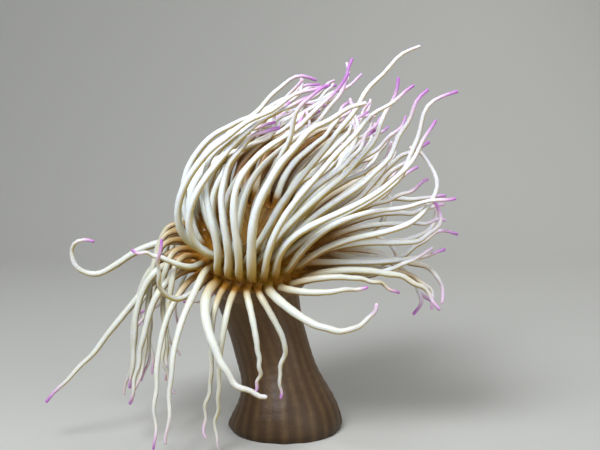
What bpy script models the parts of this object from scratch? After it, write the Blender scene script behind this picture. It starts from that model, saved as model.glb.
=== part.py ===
"""Snakelocks anemone, modelled at life size in a swaying, still pose.

The foot is a flat disc on the plane z = 0, centred on the origin.  A soft column rises from
it and bends to the left (-X), and carries a crown that is tilted towards the front (-Y).  The
crown's margin is rolled over, and the tentacles stand on this roll in four cycles.  Most of
them are swept up and to the right (+X), as in a current.  Those of the outer cycle at the left
and in front hang down, and a few of the others curl.
"""
from dataclasses import dataclass, field
from math import cos, degrees, pi, radians, sin, sqrt

import bmesh
import bpy
import numpy as np

# ---------------------------------------------------------------- driving dimensions (metres)
GAP = 0.0003                    # left between two solids that meet

FOOT_RADIUS = 0.033
FOOT_HEIGHT = 0.010
WAIST_RADIUS = 0.0215
COLUMN_TOP_RADIUS = 0.0245
COLUMN_SIDES = 16
HANDLE = 0.034                  # of the Bezier curve that the column's axis follows

CROWN_CENTRE = np.array((-0.0170, -0.0020, 0.1030))
CROWN_TILT = radians(30)        # of the crown's axis from upright, towards the front
ROLL_CENTRE = 0.0215            # radius of the circle round which the margin is rolled
ROLL_RADIUS = 0.0145
ROLL_DEPTH = 0.0050             # thickness of the blocks that carry the tentacles
COLLAR_DROP = 0.0170            # from the roll's centre down to the top of the column
DISC_DIP = 0.0030               # from the top of the roll down to the middle of the disc
LIPS_RADIUS = 0.0066
LIPS_HEIGHT = 0.0026


@dataclass
class Cycle:
    """One ring of tentacles round the crown."""
    name: str
    count: int
    lean: float                 # degrees from the crown's axis at which they stand on the roll
    length: float
    radius: float               # at the tentacle's base
    per_block: int              # neighbours that share one block of the margin


CYCLES = (
    Cycle("inner", 24, 8, 0.122, 0.00204, 3),
    Cycle("second", 28, 32, 0.122, 0.00212, 4),
    Cycle("third", 36, 56, 0.119, 0.00216, 4),
    Cycle("outer", 40, 80, 0.110, 0.00218, 4),
)
CYCLE_STEP = 24                 # degrees of the roll that one cycle takes up
TIP_TAPER = 0.62                # share of the base radius that is lost on the way to the tip
TAPER_POWER = 1.5               # above 1, the tentacle keeps its width over its lower half
PARTING = 16                    # degrees by which the front row opens in the middle
CURL = 1.5                      # radians through which the most curled tips turn
SQUARE_CORNER = 1.11            # corner radius of a square section as wide, on average, as round

RING_SPACING = 0.0255           # length of a straight tentacle between two rings of its solid
RING_BEND = 39                  # degrees of bend that take up one more ring
FEWEST_RINGS = 5
MOST_RINGS = 14
ROOT_HEIGHT = 0.0040            # from the margin to the first ring
TIP_LENGTH = 0.0020             # of the pointed end

STATIONS = 25                   # points along a tentacle while its route is worked out
SEED = 7

# Tentacles that are placed by hand: cycle, azimuth on the crown (0 right, 90 behind), length,
# headings from base to tip (0 right, 90 up, seen from the front), and depth angles (+ is back).
NAMED_ROUTES = {
    "hook": (3, 172, 0.096, (172, 188, 202, 215, 202, 139, 54, -28), (-10, 0, 0, 0)),
    "long": (3, 196, 0.115, (214, 222, 227, 230, 234, 232, 224, 218), (-30, -10, 0, 0)),
    "left_a": (3, 184, 0.103, (185, 214, 239, 253, 260, 262, 263, 264), (-20, 10, 0, 0)),
    "left_b": (3, 205, 0.091, (165, 193, 230, 253, 262, 262, 260, 258), (-35, -10, 0, 0)),
    "left_c": (3, 213, 0.092, (170, 202, 235, 255, 260, 258, 255, 252), (-50, -15, 0, 0)),
    "left_d": (3, 222, 0.104, (205, 227, 246, 260, 266, 266, 264, 263), (-55, -25, -12, -8)),
    "left_e": (2, 230, 0.105, (236, 239, 246, 257, 265, 266, 262, 258), (-55, -35, -12, 0)),
    "left_up": (2, 218, 0.046, (215, 193, 166, 151, 150, 158, 169, 180), (-60, -40, -10, 0)),
    "vee": (3, 232, 0.073, (252, 231, 202, 160, 116, 92, 87, 88), (-75, -55, -25, -8)),
    "stout": (3, 243, 0.086, (205, 248, 276, 292, 297, 298, 330, 362), (-75, -45, -10, 5)),
    "front_a": (3, 262, 0.063, (288, 287, 284, 282, 278, 269, 257, 245), (-60, -20, 5, 5)),
    "front_b": (3, 278, 0.068, (306, 304, 298, 294, 276, 246, 282, 240), (-50, 0, 10, 0)),
    "reach": (3, 285, 0.081, (331, 331, 332, 335, 342, 365, 405, 451), (-72, -40, -10, 0)),
    "under": (3, 294, 0.053, (356, 357, 358, 360, 363, 365, 367, 370), (-60, -25, -5, 5)),
    "low_a": (3, 298, 0.066, (30, 22, 13, 5, -2, -15, -33, -52), (-40, -12, 5, 10)),
    "low_b": (3, 310, 0.088, (34, 20, 6, -1, -5, -19, -45, -73), (-30, -10, 3, 5)),
    "low_c": (3, 328, 0.082, (30, 14, 0, -6, -11, -29, -62, -99), (-25, -8, 0, 2)),
    "low_d": (2, 340, 0.088, (-20, -16, -4, 2, -6, -28, -64, -104), (-25, -8, 0, 2)),
    "low_e": (2, 320, 0.080, (4, 1, 2, 1, 1, 5, 12, 20), (-25, -8, 0, 0)),
    "loop_a": (2, 310, 0.122, (56, 38, 21, 11, 27, 66, 112, 160), (-30, -12, 0, 0)),
    "loop_b": (2, 330, 0.091, (35, 22, 11, 4, 1, 17, 72, 144), (-25, -10, 0, 5)),
    "right": (2, 300, 0.108, (72, 58, 44, 26, 10, 6, 12, 19), (-30, -12, 0, 0)),
    "corner": (1, 302, 0.137, (42, 40, 34, 29, 37, 63, 79, 51, -4), (-20, -10, 0, 0)),
    "edge": (2, 290, 0.130, (115, 71, 36, 24, 30, 46, 59, 66), (-35, -12, 0, 0)),
    "up_a": (1, 289, 0.129, (58, 50, 40, 35, 42, 57, 61, 50), (-20, -8, 0, 0)),
    "up_b": (1, 276, 0.129, (55, 53, 47, 41, 41, 55, 71, 80), (-20, -8, 0, 0)),
    "up_c": (2, 280, 0.139, (93, 78, 62, 50, 50, 52, 42, 25), (-35, -12, 0, 0)),
    "top": (1, 264, 0.153, (38, 57, 61, 54, 52, 51, 51, 43, 32), (-20, -8, 0, 5)),
    "thick": (2, 270, 0.129, (86, 89, 84, 65, 53, 45, 33, 25), (-40, -15, -5, 0)),
    "arc_a": (1, 225, 0.149, (190, 135, 91, 65, 48, 32, 24, 24, 22), (-42, -18, 0, 5)),
    "arc_b": (1, 238, 0.132, (185, 138, 97, 68, 52, 44, 36, 28, 19), (-42, -16, 0, 0)),
    "arc_c": (2, 240, 0.110, (62, 84, 100, 102, 93, 64, 35, 24, 16), (-45, -15, 5, 0)),
    "arc_d": (2, 250, 0.103, (71, 84, 95, 97, 91, 75, 53, 25, -11), (-45, -15, 5, 5)),
    "arc_e": (2, 260, 0.141, (76, 89, 96, 84, 55, 37, 41, 47, 50), (-40, -12, 5, 0)),
    "arc_f": (1, 251, 0.136, (64, 76, 79, 64, 45, 34, 41, 62, 82), (-30, -10, 5, 0)),
}
WIDTHS = {"stout": 1.34, "thick": 1.34, "reach": 1.18, "low_b": 1.16, "left_up": 0.84, "vee": 0.86,
          "left_d": 0.90, "left_e": 0.90, "front_a": 0.86, "front_b": 0.90}
HANGING_WIDTH = 0.82            # of a hanging tentacle, over that of its ring
# These are divided into lengths, each in a node of its own: route, number of lengths.
DIVIDED = {"hook": 3, "long": 3, "stout": 3, "reach": 3, "loop_a": 3, "loop_b": 3, "top": 3,
           "left_d": 3, "low_c": 2, "arc_a": 2, "front_b": 2}

# Clearing the tentacles from each other.
ROUNDS = 160
SEGMENT_GAP = 0.0011            # kept between two tentacles
FLOOR_GAP = 0.0003              # kept under a tentacle that is laid on the floor

RIGHT = np.array((1.0, 0.0, 0.0))
CROWN_BACK = np.array((0.0, cos(CROWN_TILT), sin(CROWN_TILT)))
CROWN_AXIS = np.array((0.0, -sin(CROWN_TILT), cos(CROWN_TILT)))


# ---------------------------------------------------------------- small vector helpers
def unit(vectors):
    """The same directions with length one."""
    return vectors / np.linalg.norm(vectors, axis=-1, keepdims=True)


def heading(angle, depth):
    """Direction at an angle in the X-Z plane (0 right, 90 up), turned back by a depth angle."""
    angle, depth = np.radians(angle), np.radians(depth)
    return np.stack([np.cos(angle) * np.cos(depth), np.sin(depth),
                     np.sin(angle) * np.cos(depth)], -1)


def ease(low, high, x):
    """0 below low, 1 above high, and a smooth step between."""
    t = np.clip((x - low) / (high - low), 0, 1)
    return t * t * (3 - 2 * t)


def blend(first, middle, last, t):
    """Quadratic Bezier of three numbers or three directions."""
    t = np.asarray(t)[..., None] if np.ndim(first) else t
    return (1 - t) ** 2 * first + 2 * t * (1 - t) * middle + t ** 2 * last


def spline(values, t):
    """Catmull-Rom curve at t (0 to 1) through equally spaced values."""
    values = np.asarray(values, float)
    place = np.clip(np.asarray(t) * (len(values) - 1), 0, len(values) - 1 - 1e-9)
    index = place.astype(int)
    part = place - index
    ends = np.concatenate([[2 * values[0] - values[1]], values, [2 * values[-1] - values[-2]]])
    a, b, c, d = ends[index], ends[index + 1], ends[index + 2], ends[index + 3]
    return b + 0.5 * part * (c - a + part * (2 * a - 5 * b + 4 * c - d
                                             + part * (3 * (b - c) + d - a)))


def taper(u):
    """A tentacle's radius at a share u of its length, over its radius at the base."""
    return 1 - TIP_TAPER * u ** TAPER_POWER


# ---------------------------------------------------------------- the crown's own frame
def outward(azimuth):
    """Direction away from the crown's axis at an azimuth (radians)."""
    return np.cos(azimuth) * RIGHT + np.sin(azimuth) * CROWN_BACK


def crown_point(radius, height, azimuth):
    """Point at a radius from the crown's axis and a height above the roll's centre."""
    return CROWN_CENTRE + radius * outward(azimuth) + height * CROWN_AXIS


def roll_point(lean, azimuth, radius=ROLL_RADIUS):
    """Point on the rolled margin, or under it at a smaller roll radius."""
    return crown_point(ROLL_CENTRE + radius * sin(lean), radius * cos(lean), azimuth)


def roll_normal(lean, azimuth):
    """Direction straight out of the rolled margin."""
    return cos(lean) * CROWN_AXIS + sin(lean) * outward(azimuth)


# ---------------------------------------------------------------- the tentacles' routes
@dataclass
class Tentacle:
    """One tentacle: where it stands, how it hangs, and its route from base to tip."""
    cycle: int
    azimuth: float              # radians
    length: float
    radius: float
    chance: np.ndarray          # eight numbers from -1 to 1
    name: str = ""
    hangs: bool = False
    path: np.ndarray = field(default=None)

    @property
    def lean(self):
        return radians(CYCLES[self.cycle].lean)

    def degrees_round(self):
        return degrees(self.azimuth) % 360


def plant_tentacles():
    """Stand every tentacle on the roll and choose which of them hang and which are named."""
    rng = np.random.default_rng(SEED)
    tentacles = []
    for number, cycle in enumerate(CYCLES):
        for place in range(cycle.count):
            azimuth = 2 * pi * (place + 0.5 * (number % 2)) / cycle.count
            tentacles.append(Tentacle(number, azimuth, cycle.length * rng.uniform(0.80, 1.08),
                                      cycle.radius * rng.uniform(0.92, 1.06),
                                      rng.uniform(-1, 1, 8)))
    for name, (number, azimuth, length, _, _) in NAMED_ROUTES.items():
        free = [t for t in tentacles if t.cycle == number and not t.name]
        nearest = min(free, key=lambda t: abs((t.degrees_round() - azimuth + 180) % 360 - 180))
        nearest.name, nearest.length = name, length
        nearest.radius *= WIDTHS.get(name, 1.0)
    for t in tentacles:
        round_, chance = t.degrees_round(), t.chance[0]
        t.hangs = not t.name and (
            t.cycle == 3 and (160 < round_ < 262 or (262 < round_ < 345 and chance > 0.2)
                              or (80 < round_ < 160 and chance > -0.6))
            or t.cycle == 2 and 165 < round_ < 245 and chance > -0.5)
        if t.hangs:
            t.radius *= HANGING_WIDTH
            t.length *= 0.88 - 0.14 * ease(250, 270, round_) * (round_ < 345)
        elif not t.name:
            t.length *= (1.12 - 0.42 * max(cos(t.azimuth), 0) - 0.20 * max(-cos(t.azimuth), 0)
                         - 0.26 * max(-sin(t.azimuth), 0) ** 4 - 0.20 * max(sin(t.azimuth), 0))
    return tentacles


def hanging_directions(t, u):
    """Out over the margin and then down, a little to the left."""
    backness = ease(0.1, 0.8, sin(t.azimuth))
    out = t.azimuth + (radians(40) if t.cycle == 2 else 0)
    flat_out = np.array((cos(out), sin(out), 0.0))
    leftness = ease(0.55, 1.0, -cos(t.azimuth))
    first_dip = radians(60 + 16 * max(leftness, backness) + 10 * t.chance[1])
    last_dip = radians(86 + 6 * t.chance[3])
    drift = np.array((-0.06 - 0.30 * backness + 0.16 * t.chance[4], 0.08 * t.chance[5], 0.0))
    down = np.array((0.0, 0.0, -1.0))
    middle = flat_out * cos(first_dip) + down * sin(first_dip)
    last = flat_out * cos(last_dip) + down * sin(last_dip) + drift
    return blend(roll_normal(t.lean, t.azimuth), middle, last, ease(0.0, 0.42, u))


def swept_directions(t, u):
    """Up from the crown and over to the right, flatter from the right-hand side."""
    a, b = cos(t.azimuth), sin(t.azimuth)
    left, right, back, front = max(-a, 0), max(a, 0), max(b, 0), max(-b, 0)
    rank = t.cycle / (len(CYCLES) - 1)
    start = 100 + (24 + 30 * front) * left - 46 * right - 16 * back - PARTING * np.tanh(6 * a) * front
    middle = 50 - 10 * left - 32 * right - 18 * back + 11 * t.chance[1]
    end = (54 - 12 * rank - 22 * left - 16 * right - 12 * back + 12 * t.chance[2]
           + (34 + 34 * t.chance[3]) * ease(0.3, 1, right))
    if b < 0.45:
        low = ease(0.25 - 0.30 * rank, 0.75 - 0.35 * rank, a) * (0.35 + 0.65 * rank)
        start += (2 - start) * low
        middle += (18 - 24 * rank + 9 * t.chance[1] - middle) * low
        end += (t.chance[6] < 0) * (-50 - end) * low * rank * ease(0.5, 0.7, a)
    start = 90 + (start - 90) * (0.45 + 0.55 * rank)
    fan = (42, 34, 22) if b > 0 else (30, 16, 6)
    angle = blend(start, middle, end, ease(0, 0.85, u))
    depth = blend(fan[0] * b * (0.5 + 0.5 * rank), fan[1] * b + 15 * t.chance[5],
                  fan[2] * b + 4 + 12 * t.chance[4], u)
    return heading(angle, depth)


def lay_route(t):
    """Add up a tentacle's directions, with waves that grow towards the tip."""
    u = np.linspace(0, 1, STATIONS)
    if t.name:
        _, _, _, angles, depths = NAMED_ROUTES[t.name]
        course = heading(spline(angles, u), spline(depths, u))
    elif t.hangs:
        course = hanging_directions(t, u)
    else:
        course = swept_directions(t, u)
    root = 1 - ease(0.0, 0.10, u)[:, None]
    course = unit(root * roll_normal(t.lean, t.azimuth) + (1 - root) * unit(course))
    side = unit(np.cross(course, (0, 1, 0.01)))
    across = np.cross(course, side)
    swing = (0.10 if t.name else 0.21) * ease(0.1, 1.0, u)
    wave = swing * np.sin(2 * pi * (u * (1.4 + 0.5 * t.chance[5]) + t.chance[6]))
    cross_wave = 0.8 * swing * np.sin(2 * pi * (u * (1.2 + 0.5 * t.chance[7]) + t.chance[0]))
    course = unit(course + wave[:, None] * side + cross_wave[:, None] * across)
    if not t.name:
        curl = CURL * t.chance[2] ** 3 * ease(0.76, 1.0, u)[:, None]
        course = np.cos(curl) * course + np.sin(curl) * unit(np.cross(course, across))
    steps = unit(course[1:] + course[:-1]) * t.length / (STATIONS - 1)
    base = roll_point(t.lean, t.azimuth)
    t.path = np.vstack([base, base + np.cumsum(steps, 0)])


def column_axis(height):
    """Centre of the column at a share of its height (0 foot, 1 top), and its direction."""
    foot = np.zeros(3)
    top = crown_point(0, -COLLAR_DROP - GAP, 0)
    lower, upper = foot + (0, 0, HANDLE), top - HANDLE * CROWN_AXIS
    h, rest = np.asarray(height)[..., None], 1 - np.asarray(height)[..., None]
    centre = rest ** 3 * foot + 3 * rest ** 2 * h * lower + 3 * rest * h ** 2 * upper + h ** 3 * top
    along = rest ** 2 * (lower - foot) + 2 * rest * h * (upper - lower) + h ** 2 * (top - upper)
    return centre, unit(along)


def column_radius(height):
    """Wide at the foot, narrow at the waist, and wider again under the crown."""
    foot = (FOOT_RADIUS - WAIST_RADIUS) * (1 - ease(0.0, 0.42, height)) ** 1.6
    top = (COLUMN_TOP_RADIUS - WAIST_RADIUS) * ease(0.55, 1.0, height)
    return WAIST_RADIUS + foot + top


def nearest_on_segments(start_a, end_a, start_b, end_b):
    """Shares along two sets of segments at which each pair is nearest, and the offset."""
    along_a, along_b, between = end_a - start_a, end_b - start_b, start_a - start_b
    aa, bb = (along_a ** 2).sum(1), (along_b ** 2).sum(1)
    ab = (along_a * along_b).sum(1)
    a_gap, b_gap = (along_a * between).sum(1), (along_b * between).sum(1)
    share_a = np.clip((ab * b_gap - a_gap * bb) / np.maximum(aa * bb - ab ** 2, 1e-18), 0, 1)
    share_b = np.clip((ab * share_a + b_gap) / bb, 0, 1)
    share_a = np.clip((ab * share_b - a_gap) / aa, 0, 1)
    offset = between + share_a[:, None] * along_a - share_b[:, None] * along_b
    return share_a, share_b, offset


def near_pairs(paths, reach):
    """Numbers of the segments whose middles are near each other, on other tentacles or far
    along the same one."""
    count, stations, _ = paths.shape
    middles = ((paths[:, 1:] + paths[:, :-1]) / 2).reshape(-1, 3).astype(np.float32)
    squares = (middles ** 2).sum(1)
    apart = squares[:, None] + squares[None, :] - 2 * middles @ middles.T
    first, second = np.nonzero(np.triu(apart < reach ** 2, 1))
    owner = np.repeat(np.arange(count), stations - 1)
    keep = (owner[first] != owner[second]) | (second - first > 4)
    return first[keep], second[keep]


def keep_off_body(paths, radii):
    """Move points out of the floor, the rolled margin, the mouth's disc and the column."""
    paths[..., 2] = np.maximum(paths[..., 2], radii + FLOOR_GAP)
    local = paths - CROWN_CENTRE
    height = local @ CROWN_AXIS
    flat = local - height[..., None] * CROWN_AXIS
    radius = np.maximum(np.linalg.norm(flat, axis=-1), 1e-9)
    from_roll = np.stack([radius - ROLL_CENTRE, height], -1)
    from_roll[..., 0] = np.where(radius < ROLL_CENTRE, 0, from_roll[..., 0])
    distance = np.maximum(np.linalg.norm(from_roll, axis=-1), 1e-9)
    lack = np.maximum(ROLL_RADIUS + radii + GAP - distance, 0) * (height > -ROLL_RADIUS)
    lack[:, :3] = 0
    push = lack[..., None] * from_roll / distance[..., None]
    paths += push[..., :1] * flat / radius[..., None] + push[..., 1:] * CROWN_AXIS
    for share in np.linspace(0.02, 1.0, 14):
        centre, along = column_axis(share)
        away = paths - centre
        beside = np.abs(away @ along) < 0.006
        away = away - (away @ along)[..., None] * along
        distance = np.maximum(np.linalg.norm(away, axis=-1), 1e-9)
        lack = np.maximum(column_radius(share) + radii + 0.001 - distance, 0) * beside
        lack[:, :3] = 0
        paths += (lack / distance)[..., None] * away


def clear_each_other(tentacles):
    """Push the routes apart until no tentacle runs through another, the body or the floor."""
    paths = np.array([t.path for t in tentacles])
    wanted = paths.copy()
    lengths = np.array([t.length for t in tentacles]) / (STATIONS - 1)
    u = np.linspace(0, 1, STATIONS)
    radii = np.array([t.radius for t in tentacles])[:, None] * taper(u) * SQUARE_CORNER
    radii = radii * (0.80 + 0.20 * ease(0.0, 0.12, u))
    segments = STATIONS - 1
    reach = 2 * radii.max() + lengths.max() + 0.003
    for number in range(ROUNDS):
        if number % 8 == 0:
            first, second = near_pairs(paths, reach)
            own, seg = np.divmod(first, segments)
            other, other_seg = np.divmod(second, segments)
        share_a, share_b, offset = nearest_on_segments(
            paths[own, seg], paths[own, seg + 1], paths[other, other_seg], paths[other, other_seg + 1])
        distance = np.maximum(np.linalg.norm(offset, axis=1), 1e-7)
        need = (radii[own, seg] * (1 - share_a) + radii[own, seg + 1] * share_a
                + radii[other, other_seg] * (1 - share_b) + radii[other, other_seg + 1] * share_b
                + SEGMENT_GAP)
        lack = need - distance
        hit = lack > 0
        push = (0.5 * lack / distance)[hit, None] * offset[hit]
        moved = np.zeros_like(paths)
        touched = np.zeros(paths.shape[:2])
        for owner, place, share, sign in (
                (own, seg, 1 - share_a, 1), (own, seg + 1, share_a, 1),
                (other, other_seg, 1 - share_b, -1), (other, other_seg + 1, share_b, -1)):
            flat_index = (owner * STATIONS + place)[hit]
            weight = share[hit]
            touched += np.bincount(flat_index, weight, touched.size).reshape(touched.shape)
            for axis in range(3):
                moved[..., axis] += np.bincount(
                    flat_index, sign * weight * push[:, axis], touched.size).reshape(touched.shape)
        paths += 1.3 * moved / np.maximum(touched, 1)[..., None]
        shift = paths - wanted
        if number < ROUNDS - 12:
            shift[:, 2:-1] += 0.35 * (shift[:, 1:-2] + shift[:, 3:] - 2 * shift[:, 2:-1])
        shift[:, :2] = 0
        paths = wanted + shift
        keep_off_body(paths, radii)
        for place in range(2, STATIONS):
            step = paths[:, place] - paths[:, place - 1]
            paths[:, place] = paths[:, place - 1] + unit(step) * lengths[:, None]
    for t, path in zip(tentacles, paths):
        t.path = path


# ---------------------------------------------------------------- meshes and finishes
def finish_material(name, colour, roughness):
    """Plain Principled finish in a linear colour."""
    material = bpy.data.materials.new(name)
    material.use_nodes = True
    shader = material.node_tree.nodes["Principled BSDF"]
    shader.inputs["Base Color"].default_value = (*colour, 1.0)
    shader.inputs["Roughness"].default_value = roughness
    shader.inputs["Metallic"].default_value = 0.0
    return material


def add_solid(name, points, faces, material):
    """Object from points and faces, with its faces turned outwards."""
    shape = bmesh.new()
    corners = [shape.verts.new(point) for point in points]
    for face in faces:
        shape.faces.new([corners[index] for index in face])
    bmesh.ops.recalc_face_normals(shape, faces=shape.faces)
    if shape.calc_volume(signed=True) < 0:
        bmesh.ops.reverse_faces(shape, faces=shape.faces)
    mesh = bpy.data.meshes.new(name)
    shape.to_mesh(mesh)
    shape.free()
    mesh.materials.append(material)
    piece = bpy.data.objects.new(name, mesh)
    bpy.context.collection.objects.link(piece)
    return piece


def tube_faces(first, rings, sides):
    """Walls between successive rings of the same number of points."""
    return [(first + ring * sides + side, first + ring * sides + (side + 1) % sides,
             first + (ring + 1) * sides + (side + 1) % sides, first + (ring + 1) * sides + side)
            for ring in range(rings - 1) for side in range(sides)]


# ---------------------------------------------------------------- foot, column and crown
def add_column_length(name, low, high, rings, material):
    """One length of the column, between two shares of its height."""
    points = []
    angles = 2 * pi * (np.arange(COLUMN_SIDES) + 0.5) / COLUMN_SIDES
    for share in np.linspace(low, high, rings):
        centre, along = column_axis(share)
        back = unit(np.cross(along, RIGHT))
        side = np.cross(back, along)
        circle = np.cos(angles)[:, None] * side + np.sin(angles)[:, None] * back
        points.extend(centre + column_radius(share) * circle)
    faces = tube_faces(0, rings, COLUMN_SIDES)
    faces.append(tuple(range(COLUMN_SIDES)))
    faces.append(tuple(range((rings - 1) * COLUMN_SIDES, rings * COLUMN_SIDES)))
    return add_solid(name, points, faces, material)


def add_turned(name, profile, sides, material):
    """Solid turned round the crown's axis; the profile starts and ends on the axis."""
    angles = 2 * pi * (np.arange(sides) + 0.5) / sides
    points = [crown_point(0, profile[0][1], 0), crown_point(0, profile[-1][1], 0)]
    for radius, height in profile[1:-1]:
        points.extend(crown_point(radius, height, angle) for angle in angles)
    rings = len(profile) - 2
    faces = tube_faces(2, rings, sides)
    last = 2 + (rings - 1) * sides
    faces += [(0, 2 + (side + 1) % sides, 2 + side) for side in range(sides)]
    faces += [(1, last + side, last + (side + 1) % sides) for side in range(sides)]
    return add_solid(name, points, faces, material)


def collar_profile():
    """Core of the crown: flares from the column, then follows the underside of the blocks."""
    edge = radians(CYCLES[-1].lean + CYCLE_STEP / 2 + 1)
    inner = ROLL_RADIUS - ROLL_DEPTH - 2.5 * GAP
    outer = (ROLL_CENTRE + ROLL_RADIUS * sin(edge), ROLL_RADIUS * cos(edge))
    profile = [(0, -COLLAR_DROP)]
    for share in np.linspace(0, 1, 4):
        bulge = sin(share * pi / 2)
        profile.append((COLUMN_TOP_RADIUS + (outer[0] - COLUMN_TOP_RADIUS) * bulge,
                        -COLLAR_DROP + (outer[1] + COLLAR_DROP) * share ** 1.6))
    for lean in np.linspace(edge, radians(CYCLES[0].lean - CYCLE_STEP / 2), 5):
        profile.append((ROLL_CENTRE + inner * sin(lean), inner * cos(lean)))
    profile.append((0, inner))
    return profile


def disc_profile():
    """The mouth's disc: a shallow dish between the innermost tentacles."""
    inner = roll_point(radians(CYCLES[0].lean - CYCLE_STEP / 2), 0) - CROWN_CENTRE
    radius = inner @ RIGHT - 2 * GAP
    under = ROLL_RADIUS - ROLL_DEPTH - GAP
    return [(0, under), (radius - GAP, under), (radius, ROLL_RADIUS - 0.4 * DISC_DIP),
            (0.70 * radius, ROLL_RADIUS - 0.85 * DISC_DIP),
            (0.36 * radius, ROLL_RADIUS - DISC_DIP), (0, ROLL_RADIUS - DISC_DIP)]


def lips_profile():
    """A low cone with a dimple, where the mouth is drawn shut."""
    under = ROLL_RADIUS - DISC_DIP + GAP
    return [(0, under), (LIPS_RADIUS, under), (0.79 * LIPS_RADIUS, under + 0.70 * LIPS_HEIGHT),
            (0.42 * LIPS_RADIUS, under + LIPS_HEIGHT),
            (0.18 * LIPS_RADIUS, under + 0.85 * LIPS_HEIGHT), (0, under + 0.38 * LIPS_HEIGHT)]


# ---------------------------------------------------------------- the tentacles' solids
def ring_places(t):
    """Shares of the length at which a tentacle has rings: closer together where it bends."""
    steps = np.diff(t.path, axis=0)
    lengths = np.linalg.norm(steps, axis=1)
    along = steps / lengths[:, None]
    bends = np.degrees(np.arccos(np.clip((along[1:] * along[:-1]).sum(1), -1, 1)))
    effort = np.concatenate([[0], np.cumsum(lengths / RING_SPACING)])
    effort[1:-1] += np.cumsum(bends / RING_BEND)
    effort[-1] += bends.sum() / RING_BEND
    count = int(np.clip(round(effort[-1]), FEWEST_RINGS, MOST_RINGS))
    first = np.interp(ROOT_HEIGHT / t.length, np.linspace(0, 1, STATIONS), effort)
    u = np.interp(np.linspace(first, effort[-1], count), effort, np.linspace(0, 1, STATIONS))
    u[-1] = 1 - TIP_LENGTH / t.length
    return u


def tentacle_rings(t):
    """Square rings (n, 4, 3) along a tentacle, their centres, directions, and its tip."""
    u = ring_places(t)
    stations = np.linspace(0, 1, STATIONS)
    centres = np.stack([np.interp(u, stations, t.path[:, axis]) for axis in range(3)], -1)
    tip = t.path[-1]
    chain = np.vstack([t.path[:1], centres, tip])
    steps = unit(np.diff(chain, axis=0))
    along = unit(steps[1:] + steps[:-1])
    corner = SQUARE_CORNER * t.radius * taper(u)
    side = -np.sin(t.azimuth) * RIGHT + np.cos(t.azimuth) * CROWN_BACK
    rings = []
    for centre, direction, size in zip(centres, along, corner):
        side = unit(side - (side @ direction) * direction)
        across = np.cross(side, direction)
        rings.append([centre + size / sqrt(2) * (a * side + b * across)
                      for a, b in ((-1, -1), (-1, 1), (1, 1), (1, -1))])
    return np.array(rings), along, tip


def cut_places(rings, pieces):
    """Numbers of the rings at which a divided tentacle is cut."""
    return [round(len(rings) * piece / pieces) for piece in range(1, pieces)]


def add_block(name, cycle, group, material):
    """A block of the rolled margin with the tentacles that stand on it."""
    half = radians(CYCLE_STEP / 2) - GAP / 2 / ROLL_RADIUS
    lean = radians(cycle.lean)
    cell = 2 * pi / cycle.count
    trim = GAP / 2 / (ROLL_CENTRE + ROLL_RADIUS * sin(lean - half))
    first = group[0].azimuth - cell / 2
    edges = first + cell * np.arange(len(group) + 1)
    edges[0] += trim
    edges[-1] -= trim
    points = []
    for azimuth in edges:
        for radius in (ROLL_RADIUS, ROLL_RADIUS - ROLL_DEPTH):
            for side in (-half, half):
                points.append(roll_point(lean + side, azimuth, radius))
    faces = [(0, 1, 3, 2), tuple(4 * len(group) + index for index in (0, 1, 3, 2))]
    for place, t in enumerate(group):
        low, high = 4 * place, 4 * place + 4
        faces += [(low + 2, low + 3, high + 3, high + 2), (low, low + 2, high + 2, high),
                  (low + 1, low + 3, high + 3, high + 1)]
        rings, _, tip = tentacle_rings(t)
        if t.name in DIVIDED:
            rings = rings[:cut_places(rings, DIVIDED[t.name])[0] + 1]
            tip = None
        start = len(points)
        points.extend(rings.reshape(-1, 3))
        cell_corners = (low, low + 1, high + 1, high)
        for side in range(4):
            after = (side + 1) % 4
            faces.append((cell_corners[side], cell_corners[after], start + after, start + side))
        faces += tube_faces(start, len(rings), 4)
        close_end(points, faces, tip)
    return add_solid(name, points, faces, material)


def close_end(points, faces, tip):
    """Close the last ring of four with a point at the tip, or flat where it is cut."""
    last = len(points) - 4
    if tip is None:
        faces.append(tuple(range(last, last + 4)))
        return
    points.append(tip)
    faces += [(last + side, last + (side + 1) % 4, last + 4) for side in range(4)]


def add_further_lengths(t, material):
    """The lengths of a divided tentacle beyond the one on its block."""
    rings, along, tip = tentacle_rings(t)
    cuts = cut_places(rings, DIVIDED[t.name]) + [len(rings) - 1]
    for number, (start, end) in enumerate(zip(cuts[:-1], cuts[1:])):
        last = end == len(rings) - 1
        length = rings[start:end + 1].copy()
        length[0] += GAP * along[start]
        points = list(length.reshape(-1, 3))
        faces = [(0, 1, 2, 3)] + tube_faces(0, len(length), 4)
        close_end(points, faces, tip if last else None)
        part = "tip" if last else "middle"
        add_solid(f"{t.name}_tentacle_{part}", points, faces, material)


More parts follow.
